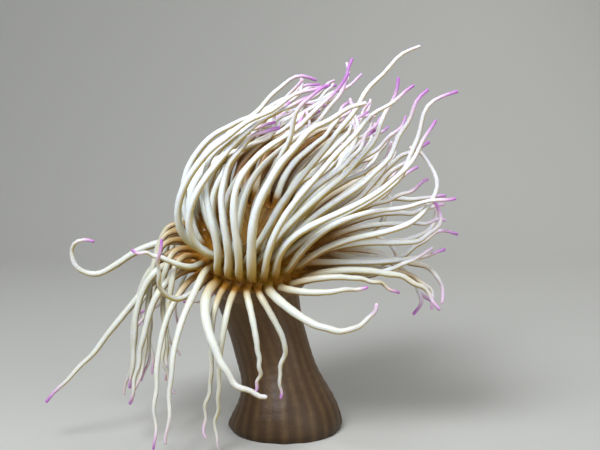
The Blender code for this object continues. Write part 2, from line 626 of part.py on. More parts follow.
# ---------------------------------------------------------------- the whole animal
def main():
    for old in list(bpy.data.objects):
        bpy.data.objects.remove(old, do_unlink=True)

    foot = finish_material("foot_flesh", (0.045, 0.022, 0.009), 0.46)
    column = finish_material("column_flesh", (0.105, 0.053, 0.019), 0.46)
    margin = finish_material("crown_flesh", (0.16, 0.070, 0.018), 0.46)
    mouth = finish_material("mouth_flesh", (0.30, 0.130, 0.050), 0.46)
    pale = finish_material("tentacle_flesh", (0.80, 0.78, 0.70), 0.40)
    tip = finish_material("tentacle_tip_flesh", (0.70, 0.50, 0.72), 0.40)

    cut = GAP / 2 / np.linalg.norm(crown_point(0, -COLLAR_DROP, 0))
    add_column_length("pedal_disc", 0.0, 0.10 - cut, 4, foot)
    add_column_length("column_lower", 0.10 + cut, 0.52 - cut, 5, column)
    add_column_length("column_upper", 0.52 + cut, 1.0, 5, column)
    add_turned("crown_collar", collar_profile(), 20, margin)
    add_turned("oral_disc", disc_profile(), 20, mouth)
    add_turned("mouth_lips", lips_profile(), 12, mouth)

    tentacles = plant_tentacles()
    for t in tentacles:
        lay_route(t)
    clear_each_other(tentacles)
    for number, cycle in enumerate(CYCLES):
        ring = [t for t in tentacles if t.cycle == number]
        for block in range(cycle.count // cycle.per_block):
            group = ring[block * cycle.per_block:(block + 1) * cycle.per_block]
            add_block(f"tentacles_{cycle.name}_{block + 1:02d}", cycle, group, pale)
    for t in tentacles:
        if t.name in DIVIDED:
            add_further_lengths(t, tip)


main()
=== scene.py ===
# %% [markdown]
# # A snakelocks anemone at life size
# A snakelocks anemone is a soft hollow column on a flat foot, with a crown of long tentacles
# that it hardly ever draws in.  Here it stands as it does in a gentle current: most of the
# tentacles stream up and to the right, the rest hang over the margin, and some of them curl.
# It could be dressed solid by solid, but every joint between two solids would then show.
# So the solids that carry it are loaded first and never change, and one smooth skin is worked
# out over all of them.

# %% Load the frame
from dataclasses import dataclass, field
from math import cos, degrees, pi, radians, sin

import bpy
import numpy as np
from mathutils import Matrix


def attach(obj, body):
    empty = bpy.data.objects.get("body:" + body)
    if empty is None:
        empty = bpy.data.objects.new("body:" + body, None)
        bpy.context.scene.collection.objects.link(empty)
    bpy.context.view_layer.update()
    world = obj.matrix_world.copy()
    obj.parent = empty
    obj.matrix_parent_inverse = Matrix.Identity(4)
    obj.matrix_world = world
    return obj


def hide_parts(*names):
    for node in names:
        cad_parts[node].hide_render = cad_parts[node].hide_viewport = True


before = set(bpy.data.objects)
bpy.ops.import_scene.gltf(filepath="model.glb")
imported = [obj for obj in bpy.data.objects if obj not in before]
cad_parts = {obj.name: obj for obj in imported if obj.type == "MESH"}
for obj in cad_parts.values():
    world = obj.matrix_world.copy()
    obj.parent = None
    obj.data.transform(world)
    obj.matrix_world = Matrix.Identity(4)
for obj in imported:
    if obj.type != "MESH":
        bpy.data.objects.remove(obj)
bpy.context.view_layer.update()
print("nodes in the frame:", len(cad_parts))

# %% [markdown]
# ## Units and colours
# Everything is in metres, so a length that is easier to think of in millimetres is written
# with MM.  Colours are picked as the hex values that a screen shows.  A shader works with
# linear light, so one function undoes the screen's curve.

# %% Units and colours
MM = 0.001


def linear(hex_colour):
    """RGBA for a shader: each sRGB channel is divided by 12.92 when it is dark, and otherwise
    raised to 2.4 after the curve's offset is taken off."""
    srgb = np.array([int(hex_colour[place:place + 2], 16) for place in (1, 3, 5)]) / 255
    light = np.where(srgb <= 0.04045, srgb / 12.92, ((srgb + 0.055) / 1.055) ** 2.4)
    return (*light.tolist(), 1.0)


print("mid grey is", round(linear("#808080")[0], 3), "in linear light")

# %% [markdown]
# ## Directions
# A tentacle could be drawn as a Bezier curve with handles, but a hundred of them are easier to
# describe as walks: set off in some direction and keep turning.  A few small functions make
# and mix directions.  They all take whole arrays, so a tentacle's walk, or all the tentacles
# at once, is one call.

# %% Vector helpers
def unit(vectors):
    """The same directions with length one: each vector over its own length."""
    return vectors / np.linalg.norm(vectors, axis=-1, keepdims=True)


def heading(angle, depth):
    """Direction at an angle in the X-Z plane (0 right, 90 up), turned back by a depth angle:
    the cosine of the depth shares itself between X and Z, and its sine is Y."""
    angle, depth = np.radians(angle), np.radians(depth)
    return np.stack([np.cos(angle) * np.cos(depth), np.sin(depth),
                     np.sin(angle) * np.cos(depth)], -1)


def ease(low, high, x):
    """0 below low, 1 above high, and between them 3 t squared minus 2 t cubed."""
    t = np.clip((x - low) / (high - low), 0, 1)
    return t * t * (3 - 2 * t)


def blend(first, middle, last, t):
    """Quadratic Bezier of three numbers or directions: weights (1-t)^2, 2t(1-t) and t^2."""
    t = np.asarray(t)[..., None] if np.ndim(first) else t
    return (1 - t) ** 2 * first + 2 * t * (1 - t) * middle + t ** 2 * last


def along_paths(paths, shares):
    """Points at each path's own shares (0 to 1), by a Catmull-Rom curve: between two stations
    it is the cubic whose slopes there are half the difference of the stations on either side.
    Past the ends, the stations go on in a straight line."""
    last = paths.shape[1] - 1
    place = np.clip(shares * last, 0, last - 1e-9)
    index = place.astype(int)
    part = (place - index)[..., None]
    ends = np.concatenate([2 * paths[:, :1] - paths[:, 1:2], paths,
                           2 * paths[:, -1:] - paths[:, -2:-1]], axis=1)
    rows = np.arange(len(paths))[:, None]
    a, b, c, d = (ends[rows, index + step] for step in range(4))
    return b + 0.5 * part * (c - a + part * (2 * a - 5 * b + 4 * c - d
                                             + part * (3 * (b - c) + d - a)))


def spline(values, t):
    """The same curve through one list of numbers."""
    return along_paths(np.array(values, float)[None, :, None], t[None])[0, :, 0]


print("halfway up from the right:", heading(45, 0).round(2))

# %% [markdown]
# ## The crown's own frame
# The crown leans 30 degrees towards the front.  It could be built upright and then turned,
# but a finished piece keeps its place in its mesh, so the crown gets axes of its own instead.
# Its margin is rolled over like the brim of a hat: a quarter of a torus.  A place on the roll
# is then two angles: the azimuth round the crown, and the lean from its axis, which is 0 on
# top of the roll and 90 at its outer edge.

# %% Crown
GAP = 0.3 * MM                  # between two solids of the frame
CROWN_CENTRE = np.array((-17.0, -2.0, 103.0)) * MM
CROWN_TILT = radians(30)
ROLL_CENTRE = 21.5 * MM         # radius of the circle round which the margin is rolled
ROLL_RADIUS = 14.5 * MM
COLLAR_DROP = 17.0 * MM         # from the roll's centre down to the top of the column
CYCLE_STEP = 24                 # degrees of the roll that one ring of tentacles takes up

RIGHT = np.array((1.0, 0.0, 0.0))
CROWN_BACK = np.array((0.0, cos(CROWN_TILT), sin(CROWN_TILT)))
CROWN_AXIS = np.array((0.0, -sin(CROWN_TILT), cos(CROWN_TILT)))


def outward(azimuth):
    """Direction away from the crown's axis: cosine to the right plus sine to the back."""
    azimuth = np.asarray(azimuth)[..., None]
    return np.cos(azimuth) * RIGHT + np.sin(azimuth) * CROWN_BACK


def crown_point(radius, height, azimuth):
    """Point at a radius from the crown's axis and a height above the roll's centre."""
    radius, height = np.asarray(radius)[..., None], np.asarray(height)[..., None]
    return CROWN_CENTRE + radius * outward(azimuth) + height * CROWN_AXIS


def roll_point(lean, azimuth, radius=ROLL_RADIUS):
    """Point on the rolled margin: out by the sine of the lean and up by its cosine."""
    return crown_point(ROLL_CENTRE + radius * np.sin(lean), radius * np.cos(lean), azimuth)


def roll_normal(lean, azimuth):
    """Direction straight out of the rolled margin."""
    return np.cos(lean) * CROWN_AXIS + np.sin(lean) * outward(azimuth)


print("outer edge of the margin, mm:", (roll_point(pi / 2, 0) / MM).round(1))

# %% [markdown]
# ## Which tentacles there are
# Anemone tentacles stand in rings, called cycles.  Scattering points over the margin would be
# simpler, but it would lose the order that a real crown has.  Four rings share the roll, with
# more tentacles in each wider one, and each ring is set half a step round from the last.  A
# seeded random generator gives every tentacle its own length, thickness and habits, and the
# same ones in every run.

# %% Cycles
@dataclass
class Cycle:
    """One ring of tentacles round the crown."""
    name: str
    count: int
    lean: float                 # degrees from the crown's axis at which they stand on the roll
    length: float
    radius: float               # at the tentacle's base


CYCLES = (
    Cycle("inner", 24, 8, 122 * MM, 2.04 * MM),
    Cycle("second", 28, 32, 122 * MM, 2.12 * MM),
    Cycle("third", 36, 56, 119 * MM, 2.16 * MM),
    Cycle("outer", 40, 80, 110 * MM, 2.18 * MM),
)
LENGTH_SPREAD = (0.80, 1.08)    # shortest and longest, over the ring's length
WIDTH_SPREAD = (0.92, 1.06)
HABITS = 8                      # chance numbers that each tentacle gets
TIP_TAPER = 0.62                # share of the base radius that is lost on the way to the tip
TAPER_POWER = 1.5               # above 1, the tentacle keeps its width over its lower half
STATIONS = 25                   # points along a tentacle while its route is worked out
SEED = 7


def taper(u):
    """Radius at a share u of the length over the radius at the base: 1 - loss x u ^ power."""
    return 1 - TIP_TAPER * u ** TAPER_POWER


print("tentacles:", sum(cycle.count for cycle in CYCLES))

# %% [markdown]
# ## The tentacles that stand out
# Some tentacles catch the eye: the hook at the left, the long one below it, the loops at the
# right, the one that stands above the rest.  No rule would give these, so each has its route
# written down: its ring, from 0 inside to 3 outside, its azimuth on the crown, its length, a
# handful of headings from base to tip, where 0 points right and 90 up, and depth angles, which
# are positive towards the back.  A few are thicker or thinner than their ring.  All the others
# follow a rule.

# %% Named routes
NAMED_ROUTES = {
    "hook": (3, 172, 0.096, (172, 188, 202, 215, 202, 139, 54, -28), (-10, 0, 0, 0)),
    "long": (3, 196, 0.115, (214, 222, 227, 230, 234, 232, 224, 218), (-30, -10, 0, 0)),
    "left_a": (3, 184, 0.103, (185, 214, 239, 253, 260, 262, 263, 264), (-20, 10, 0, 0)),
    "left_b": (3, 205, 0.091, (165, 193, 230, 253, 262, 262, 260, 258), (-35, -10, 0, 0)),
    "left_c": (3, 213, 0.092, (170, 202, 235, 255, 260, 258, 255, 252), (-50, -15, 0, 0)),
    "left_d": (3, 222, 0.104, (205, 227, 246, 260, 266, 266, 264, 263), (-55, -25, -12, -8)),
    "left_e": (2, 230, 0.105, (236, 239, 246, 257, 265, 266, 262, 258), (-55, -35, -12, 0)),
    "left_up": (2, 218, 0.046, (215, 193, 166, 151, 150, 158, 169, 180), (-60, -40, -10, 0)),
    "vee": (3, 232, 0.073, (252, 231, 202, 160, 116, 92, 87, 88), (-75, -55, -25, -8)),
    "stout": (3, 243, 0.086, (205, 248, 276, 292, 297, 298, 330, 362), (-75, -45, -10, 5)),
    "front_a": (3, 262, 0.063, (288, 287, 284, 282, 278, 269, 257, 245), (-60, -20, 5, 5)),
    "front_b": (3, 278, 0.068, (306, 304, 298, 294, 276, 246, 282, 240), (-50, 0, 10, 0)),
    "reach": (3, 285, 0.081, (331, 331, 332, 335, 342, 365, 405, 451), (-72, -40, -10, 0)),
    "under": (3, 294, 0.053, (356, 357, 358, 360, 363, 365, 367, 370), (-60, -25, -5, 5)),
    "low_a": (3, 298, 0.066, (30, 22, 13, 5, -2, -15, -33, -52), (-40, -12, 5, 10)),
    "low_b": (3, 310, 0.088, (34, 20, 6, -1, -5, -19, -45, -73), (-30, -10, 3, 5)),
    "low_c": (3, 328, 0.082, (30, 14, 0, -6, -11, -29, -62, -99), (-25, -8, 0, 2)),
    "low_d": (2, 340, 0.088, (-20, -16, -4, 2, -6, -28, -64, -104), (-25, -8, 0, 2)),
    "low_e": (2, 320, 0.080, (4, 1, 2, 1, 1, 5, 12, 20), (-25, -8, 0, 0)),
    "loop_a": (2, 310, 0.122, (56, 38, 21, 11, 27, 66, 112, 160), (-30, -12, 0, 0)),
    "loop_b": (2, 330, 0.091, (35, 22, 11, 4, 1, 17, 72, 144), (-25, -10, 0, 5)),
    "right": (2, 300, 0.108, (72, 58, 44, 26, 10, 6, 12, 19), (-30, -12, 0, 0)),
    "corner": (1, 302, 0.137, (42, 40, 34, 29, 37, 63, 79, 51, -4), (-20, -10, 0, 0)),
    "edge": (2, 290, 0.130, (115, 71, 36, 24, 30, 46, 59, 66), (-35, -12, 0, 0)),
    "up_a": (1, 289, 0.129, (58, 50, 40, 35, 42, 57, 61, 50), (-20, -8, 0, 0)),
    "up_b": (1, 276, 0.129, (55, 53, 47, 41, 41, 55, 71, 80), (-20, -8, 0, 0)),
    "up_c": (2, 280, 0.139, (93, 78, 62, 50, 50, 52, 42, 25), (-35, -12, 0, 0)),
    "top": (1, 264, 0.153, (38, 57, 61, 54, 52, 51, 51, 43, 32), (-20, -8, 0, 5)),
    "thick": (2, 270, 0.129, (86, 89, 84, 65, 53, 45, 33, 25), (-40, -15, -5, 0)),
    "arc_a": (1, 225, 0.149, (190, 135, 91, 65, 48, 32, 24, 24, 22), (-42, -18, 0, 5)),
    "arc_b": (1, 238, 0.132, (185, 138, 97, 68, 52, 44, 36, 28, 19), (-42, -16, 0, 0)),
    "arc_c": (2, 240, 0.110, (62, 84, 100, 102, 93, 64, 35, 24, 16), (-45, -15, 5, 0)),
    "arc_d": (2, 250, 0.103, (71, 84, 95, 97, 91, 75, 53, 25, -11), (-45, -15, 5, 5)),
    "arc_e": (2, 260, 0.141, (76, 89, 96, 84, 55, 37, 41, 47, 50), (-40, -12, 5, 0)),
    "arc_f": (1, 251, 0.136, (64, 76, 79, 64, 45, 34, 41, 62, 82), (-30, -10, 5, 0)),
}
WIDTHS = {"stout": 1.34, "thick": 1.34, "reach": 1.18, "low_b": 1.16, "left_up": 0.84,
          "vee": 0.86, "left_d": 0.90, "left_e": 0.90, "front_a": 0.86, "front_b": 0.90}
print("placed by hand:", len(NAMED_ROUTES))

# %% [markdown]
# ## Planting them
# Every tentacle gets its place on the roll.  A named one takes the free place nearest to its
# azimuth, so that the rings stay evenly filled.  Those of the two outer rings hang where the
# current lifts them least: at the left, here and there in front, and at the back left.  The
# others stream, and the further right they stand, the shorter they are.

# %% Plant the tentacles
# Arcs in which tentacles hang: ring, first and last azimuth in degrees, and the chance number
# that a tentacle there has to be above.
HANGING_ARCS = ((3, 160, 262, -1.0), (3, 262, 345, 0.2), (3, 80, 160, -0.6),
                (2, 165, 245, -0.5))
HANGING_WIDTH = 0.82            # of a hanging tentacle, over that of its ring
HANGING_LENGTH = 0.88
FRONT_SHORTENING = 0.14         # further loss of a hanging tentacle in front
STREAM_LENGTH = 1.12            # of a streaming tentacle, less what it loses by its place
RIGHT_LOSS, LEFT_LOSS, FRONT_LOSS, BACK_LOSS = 0.42, 0.20, 0.26, 0.20


@dataclass
class Tentacle:
    """One tentacle: where it stands, whether it hangs, and its route from base to tip."""
    cycle: int
    azimuth: float              # radians
    length: float
    radius: float
    chance: np.ndarray          # numbers from -1 to 1, one for each habit
    name: str = ""
    hangs: bool = False
    path: np.ndarray = field(default=None)

    @property
    def lean(self):
        """Angle from the crown's axis at which its ring stands, in radians."""
        return radians(CYCLES[self.cycle].lean)

    def degrees_round(self):
        """Its azimuth in degrees, from 0 to 360."""
        return degrees(self.azimuth) % 360

    def quarters(self):
        """How far left, right, back and front it stands: cosine and sine, split by sign."""
        a, b = cos(self.azimuth), sin(self.azimuth)
        return max(-a, 0), max(a, 0), max(b, 0), max(-b, 0)


def plant_tentacles():
    """Stand every tentacle on the roll and choose which of them hang and which are named."""
    rng = np.random.default_rng(SEED)
    tentacles = []
    for number, cycle in enumerate(CYCLES):
        for place in range(cycle.count):
            azimuth = 2 * pi * (place + 0.5 * (number % 2)) / cycle.count
            tentacles.append(Tentacle(number, azimuth,
                                      cycle.length * rng.uniform(*LENGTH_SPREAD),
                                      cycle.radius * rng.uniform(*WIDTH_SPREAD),
                                      rng.uniform(-1, 1, HABITS)))
    for name, (number, azimuth, length, _, _) in NAMED_ROUTES.items():
        free = [t for t in tentacles if t.cycle == number and not t.name]
        nearest = min(free, key=lambda t: abs((t.degrees_round() - azimuth + 180) % 360 - 180))
        nearest.name, nearest.length = name, length
        nearest.radius *= WIDTHS.get(name, 1.0)
    for t in tentacles:
        place = t.degrees_round()
        t.hangs = not t.name and any(
            t.cycle == ring and first < place < last and t.chance[0] > least
            for ring, first, last, least in HANGING_ARCS)
        if t.hangs:
            t.radius *= HANGING_WIDTH
            in_front = ease(250, 270, place) * (place < 345)
            t.length *= HANGING_LENGTH - FRONT_SHORTENING * in_front
        elif not t.name:
            left, right, back, front = t.quarters()
            t.length *= (STREAM_LENGTH - RIGHT_LOSS * right - LEFT_LOSS * left
                         - FRONT_LOSS * front ** 4 - BACK_LOSS * back)
    return tentacles


tentacles = plant_tentacles()
print("hanging by rule:", sum(t.hangs for t in tentacles))

# %% [markdown]
# ## The rule for the rest
# A hanging tentacle leaves the roll along its normal, turns over and falls.  A swept one
# leaves more or less upright, bends over to the right, and straightens into the stream: the
# further to the right it stands, the flatter it lies.  A simulation of the current could find
# these courses, but three headings joined by a Bezier are quicker and easier to steer.

# %% Hanging tentacles
TURNED_FRONT = radians(40)      # turn to the front with which the third ring's set off
FALL = 0.42                     # share of the length after which a hanging tentacle falls


def hanging_directions(t, u):
    """Bezier from the roll's normal, over the margin, to nearly straight down.  A dip is an
    angle below the level: out by its cosine, down by its sine."""
    backness = ease(0.1, 0.8, sin(t.azimuth))
    leftness = ease(0.55, 1.0, -cos(t.azimuth))
    out = t.azimuth + (TURNED_FRONT if t.cycle == 2 else 0)
    flat_out = np.array((cos(out), sin(out), 0.0))
    down = np.array((0.0, 0.0, -1.0))
    first_dip = radians(60 + 16 * max(leftness, backness) + 10 * t.chance[1])
    last_dip = radians(86 + 6 * t.chance[3])
    drift = np.array((-0.06 - 0.30 * backness + 0.16 * t.chance[4], 0.08 * t.chance[5], 0.0))
    middle = flat_out * cos(first_dip) + down * sin(first_dip)
    last = flat_out * cos(last_dip) + down * sin(last_dip) + drift
    return blend(roll_normal(t.lean, t.azimuth), middle, last, ease(0.0, FALL, u))


print("hanging tentacles fall after", FALL, "of their length")

# %% Swept tentacles
PARTING = 16                    # degrees by which the front row opens in the middle
LOW_START, LOW_END = 2, -50     # headings of the lowest ones at the right
STRAIGHT_FROM = 0.85            # share of the length after which the heading stays
BACK_FAN, FRONT_FAN = (42, 34, 22), (30, 16, 6)     # depth angles: base, middle, tip


def swept_directions(t, u):
    """Bezier of headings in degrees: steep at the base, and flatter from the right-hand side.
    Each heading is a sum of shares for left, right, back and front, and of chance."""
    a, b = cos(t.azimuth), sin(t.azimuth)
    left, right, back, front = t.quarters()
    rank = t.cycle / (len(CYCLES) - 1)
    start = 100 + (24 + 30 * front) * left - 46 * right - 16 * back
    start -= PARTING * np.tanh(6 * a) * front
    middle = 50 - 10 * left - 32 * right - 18 * back + 11 * t.chance[1]
    end = (54 - 12 * rank - 22 * left - 16 * right - 12 * back + 12 * t.chance[2]
           + (34 + 34 * t.chance[3]) * ease(0.3, 1, right))
    if b < 0.45:
        # The outer ones at the right lie low, and some of their tips droop.
        low = ease(0.25 - 0.30 * rank, 0.75 - 0.35 * rank, a) * (0.35 + 0.65 * rank)
        start += (LOW_START - start) * low
        middle += (18 - 24 * rank + 9 * t.chance[1] - middle) * low
        end += (t.chance[6] < 0) * (LOW_END - end) * low * rank * ease(0.5, 0.7, a)
    start = 90 + (start - 90) * (0.45 + 0.55 * rank)
    fan = BACK_FAN if b > 0 else FRONT_FAN
    angle = blend(start, middle, end, ease(0, STRAIGHT_FROM, u))
    depth = blend(fan[0] * b * (0.5 + 0.5 * rank), fan[1] * b + 15 * t.chance[5],
                  fan[2] * b + 4 + 12 * t.chance[4], u)
    return heading(angle, depth)


print("the front row parts by", PARTING, "degrees")

# %% [markdown]
# ## Walking the routes
# A tentacle that follows its headings exactly looks combed.  Noise could roughen it, but
# neighbouring points would then jump apart.  Two slow waves, one to the side and one across
# it, grow towards the tip instead, and the tips that follow a rule also curl a little.

# %% Lay the routes
ROOT_SHARE = 0.10               # of the length, over which a tentacle leaves the roll's normal
NAMED_SWING, SWING = 0.10, 0.21         # of the waves, as the tangent of an angle
CROSS_SWING = 0.8               # of the second wave, over the first
CURL = 1.5                      # radians through which the most curled tips turn
CURL_FROM = 0.76                # share of the length


def lay_route(t):
    """Add up a tentacle's directions in equal steps, with waves that grow to the tip."""
    u = np.linspace(0, 1, STATIONS)
    if t.name:
        _, _, _, angles, depths = NAMED_ROUTES[t.name]
        course = heading(spline(angles, u), spline(depths, u))
    elif t.hangs:
        course = hanging_directions(t, u)
    else:
        course = swept_directions(t, u)
    root = 1 - ease(0.0, ROOT_SHARE, u)[:, None]
    course = unit(root * roll_normal(t.lean, t.azimuth) + (1 - root) * unit(course))
    side = unit(np.cross(course, (0, 1, 0.01)))
    across = np.cross(course, side)
    swing = (NAMED_SWING if t.name else SWING) * ease(ROOT_SHARE, 1.0, u)
    waves, cross_waves = 1.4 + 0.5 * t.chance[5], 1.2 + 0.5 * t.chance[7]
    wave = swing * np.sin(2 * pi * (u * waves + t.chance[6]))
    cross_wave = CROSS_SWING * swing * np.sin(2 * pi * (u * cross_waves + t.chance[0]))
    course = unit(course + wave[:, None] * side + cross_wave[:, None] * across)
    if not t.name:
        curl = CURL * t.chance[2] ** 3 * ease(CURL_FROM, 1.0, u)[:, None]
        course = np.cos(curl) * course + np.sin(curl) * unit(np.cross(course, across))
    steps = unit(course[1:] + course[:-1]) * t.length / (STATIONS - 1)
    base = roll_point(t.lean, t.azimuth)
    t.path = np.vstack([base, base + np.cumsum(steps, 0)])


for t in tentacles:
    lay_route(t)
print("longest tentacle, mm:", round(max(t.length for t in tentacles) / MM))

# %% [markdown]
# ## The column
# The column rises from the middle of the foot and bends over to meet the crown square on.  A
# straight cylinder with a Bend modifier would lean too, but its end would have to be matched
# to the crown by eye.  A cubic Bezier meets it exactly: its first handle goes straight up from
# the foot, and its last one comes straight out of the crown.  The radius swells at the foot
# and under the crown.

# %% Column
FOOT_RADIUS = 33.0 * MM
WAIST_RADIUS = 21.5 * MM
COLUMN_TOP_RADIUS = 24.5 * MM
HANDLE = 34.0 * MM              # length of the two handles
FOOT_FLARE = 0.42               # share of the height up to which the foot flares
CROWN_FLARE = 0.55              # and from which the column widens to the crown


def column_axis(height):
    """Centre of the column at a share of its height (0 foot, 1 top), and its direction:
    a cubic Bezier with weights (1-h)^3, 3h(1-h)^2, 3h^2(1-h) and h^3, and its slope."""
    foot = np.zeros(3)
    top = crown_point(0, -COLLAR_DROP - GAP, 0)
    lower, upper = foot + (0, 0, HANDLE), top - HANDLE * CROWN_AXIS
    h, rest = np.asarray(height)[..., None], 1 - np.asarray(height)[..., None]
    centre = (rest ** 3 * foot + 3 * rest ** 2 * h * lower + 3 * rest * h ** 2 * upper
              + h ** 3 * top)
    along = rest ** 2 * (lower - foot) + 2 * rest * h * (upper - lower) + h ** 2 * (top - upper)
    return centre, unit(along)


def column_radius(height):
    """The waist's radius, plus the flare of the foot and a smaller one under the crown."""
    foot = (FOOT_RADIUS - WAIST_RADIUS) * (1 - ease(0.0, FOOT_FLARE, height)) ** 1.6
    top = (COLUMN_TOP_RADIUS - WAIST_RADIUS) * ease(CROWN_FLARE, 1.0, height)
    return WAIST_RADIUS + foot + top


print("foot and waist, mm across:", 2 * FOOT_RADIUS / MM, 2 * WAIST_RADIUS / MM)

# %% [markdown]
# ## Making room
# Laid out by themselves, some tentacles would run through each other.  Real ones slide
# aside, and so do these: wherever two stretches are too near, both are pushed apart, the
# pushes are spread along the tentacle so that it doesn't kink, and its steps are put back to
# their length.  After enough rounds nothing touches.  Blender's rigid body physics could push
# stiff rods apart, but these have to bend and keep their roots.  The nearest points of two
# straight stretches come from a formula, so each round works on all the pairs at once.

# %% Nearest points
TINY = 1e-9                     # keeps a length that is divided by from being zero
SAME_TENTACLE = 4               # steps within which a tentacle can't run into itself


def nearest_on_segments(start_a, end_a, start_b, end_b):
    """Shares along two sets of segments at which each pair is nearest, and the offset: both
    derivatives of the squared distance are zero there, and the shares stop at the ends."""
    along_a, along_b, between = end_a - start_a, end_b - start_b, start_a - start_b
    aa, bb = (along_a ** 2).sum(1), (along_b ** 2).sum(1)
    ab = (along_a * along_b).sum(1)
    a_gap, b_gap = (along_a * between).sum(1), (along_b * between).sum(1)
    share_a = np.clip((ab * b_gap - a_gap * bb) / np.maximum(aa * bb - ab ** 2, 1e-18), 0, 1)
    share_b = np.clip((ab * share_a + b_gap) / bb, 0, 1)
    share_a = np.clip((ab * share_b - a_gap) / aa, 0, 1)
    offset = between + share_a[:, None] * along_a - share_b[:, None] * along_b
    return share_a, share_b, offset


def near_pairs(paths, reach):
    """Numbers of the segments whose middles are near each other, on other tentacles or far
    along the same one.  Squared distances come from |a|^2 + |b|^2 - 2 a.b."""
    count, stations, _ = paths.shape
    middles = ((paths[:, 1:] + paths[:, :-1]) / 2).reshape(-1, 3).astype(np.float32)
    squares = (middles ** 2).sum(1)
    apart = squares[:, None] + squares[None, :] - 2 * middles @ middles.T
    first, second = np.nonzero(np.triu(apart < reach ** 2, 1))
    owner = np.repeat(np.arange(count), stations - 1)
    keep = (owner[first] != owner[second]) | (second - first > SAME_TENTACLE)
    return first[keep], second[keep]


laid_paths = np.array([t.path for t in tentacles])
print("pairs of steps within 10 mm:", len(near_pairs(laid_paths, 10 * MM)[0]))

# %% Room for the body
FLOOR_GAP = 0.3 * MM            # kept under a tentacle that is laid on the floor
COLUMN_GAP = 1.0 * MM
COLUMN_SLICES = np.linspace(0.02, 1.0, 14)      # shares of its height
SLICE_REACH = 6.0 * MM          # above and below a slice of the column
PLANTED = 3                     # stations at the root that stay in the margin


def keep_off_body(paths, radii):
    """Move points out of the floor, the rolled margin, the mouth's disc and the column: each
    is pushed straight away from the body by what it lacks of its own radius and a gap."""
    paths[..., 2] = np.maximum(paths[..., 2], radii + FLOOR_GAP)
    local = paths - CROWN_CENTRE
    height = local @ CROWN_AXIS
    flat = local - height[..., None] * CROWN_AXIS
    radius = np.maximum(np.linalg.norm(flat, axis=-1), TINY)
    from_roll = np.stack([radius - ROLL_CENTRE, height], -1)
    from_roll[..., 0] = np.where(radius < ROLL_CENTRE, 0, from_roll[..., 0])
    distance = np.maximum(np.linalg.norm(from_roll, axis=-1), TINY)
    lack = np.maximum(ROLL_RADIUS + radii + GAP - distance, 0) * (height > -ROLL_RADIUS)
    lack[:, :PLANTED] = 0
    push = lack[..., None] * from_roll / distance[..., None]
    paths += push[..., :1] * flat / radius[..., None] + push[..., 1:] * CROWN_AXIS
    for share in COLUMN_SLICES:
        centre, along = column_axis(share)
        away = paths - centre
        beside = np.abs(away @ along) < SLICE_REACH
        away = away - (away @ along)[..., None] * along
        distance = np.maximum(np.linalg.norm(away, axis=-1), TINY)
        lack = np.maximum(column_radius(share) + radii + COLUMN_GAP - distance, 0) * beside
        lack[:, :PLANTED] = 0
        paths += (lack / distance)[..., None] * away


print("slices of the column:", len(COLUMN_SLICES))

# %% Clear the tentacles from each other
ROUNDS = 160
LAST_ROUNDS = 12                # in which the pushes are no longer spread
ROUNDS_PER_SEARCH = 8           # the near pairs are looked up again after so many
SEGMENT_GAP = 1.1 * MM          # kept between two tentacles
SEARCH_MARGIN = 3.0 * MM
SQUARE_CORNER = 1.11            # the frame's tentacles are square, and their corners count
OVERSHOOT = 1.3                 # of each push, which saves rounds
SPREAD = 0.35                   # share of a push that is passed on to the neighbours
# At the crowded roots 0.80 of a tentacle's width counts, and the other 0.20 is gained over the
# first 0.12 of its length.
ROOT_WIDTH, ROOT_GAIN, CROWDED = 0.80, 0.20, 0.12


def clear_each_other(wanted, lengths, radii):
    """Push the routes apart until no tentacle runs through another, the body or the floor.
    Each of a pair goes half of what the pair lacks, away from the other, and the two ends
    of a step share that by how near each is to the nearest point."""
    paths = wanted.copy()
    segments = STATIONS - 1
    reach = 2 * radii.max() + lengths.max() + SEARCH_MARGIN
    for number in range(ROUNDS):
        if number % ROUNDS_PER_SEARCH == 0:
            first, second = near_pairs(paths, reach)
            own, seg = np.divmod(first, segments)
            other, other_seg = np.divmod(second, segments)
        start_a, end_a = (own, seg), (own, seg + 1)
        start_b, end_b = (other, other_seg), (other, other_seg + 1)
        share_a, share_b, offset = nearest_on_segments(
            paths[start_a], paths[end_a], paths[start_b], paths[end_b])
        distance = np.maximum(np.linalg.norm(offset, axis=1), 1e-7)
        need = (radii[start_a] * (1 - share_a) + radii[end_a] * share_a
                + radii[start_b] * (1 - share_b) + radii[end_b] * share_b + SEGMENT_GAP)
        lack = need - distance
        hit = lack > 0
        push = (0.5 * lack / distance)[hit, None] * offset[hit]
        moved = np.zeros_like(paths)
        touched = np.zeros(paths.shape[:2])
        for (owner, place), share, sign in ((start_a, 1 - share_a, 1), (end_a, share_a, 1),
                                            (start_b, 1 - share_b, -1), (end_b, share_b, -1)):
            index, weight = (owner * STATIONS + place)[hit], share[hit]
            touched += np.bincount(index, weight, touched.size).reshape(touched.shape)
            for axis in range(3):
                sums = np.bincount(index, sign * weight * push[:, axis], touched.size)
                moved[..., axis] += sums.reshape(touched.shape)
        paths += OVERSHOOT * moved / np.maximum(touched, 1)[..., None]
        shift = paths - wanted
        if number < ROUNDS - LAST_ROUNDS:
            shift[:, 2:-1] += SPREAD * (shift[:, 1:-2] + shift[:, 3:] - 2 * shift[:, 2:-1])
        shift[:, :2] = 0
        paths = wanted + shift
        keep_off_body(paths, radii)
        for place in range(2, STATIONS):
            step = paths[:, place] - paths[:, place - 1]
            paths[:, place] = paths[:, place - 1] + unit(step) * lengths[:, None]
    return paths


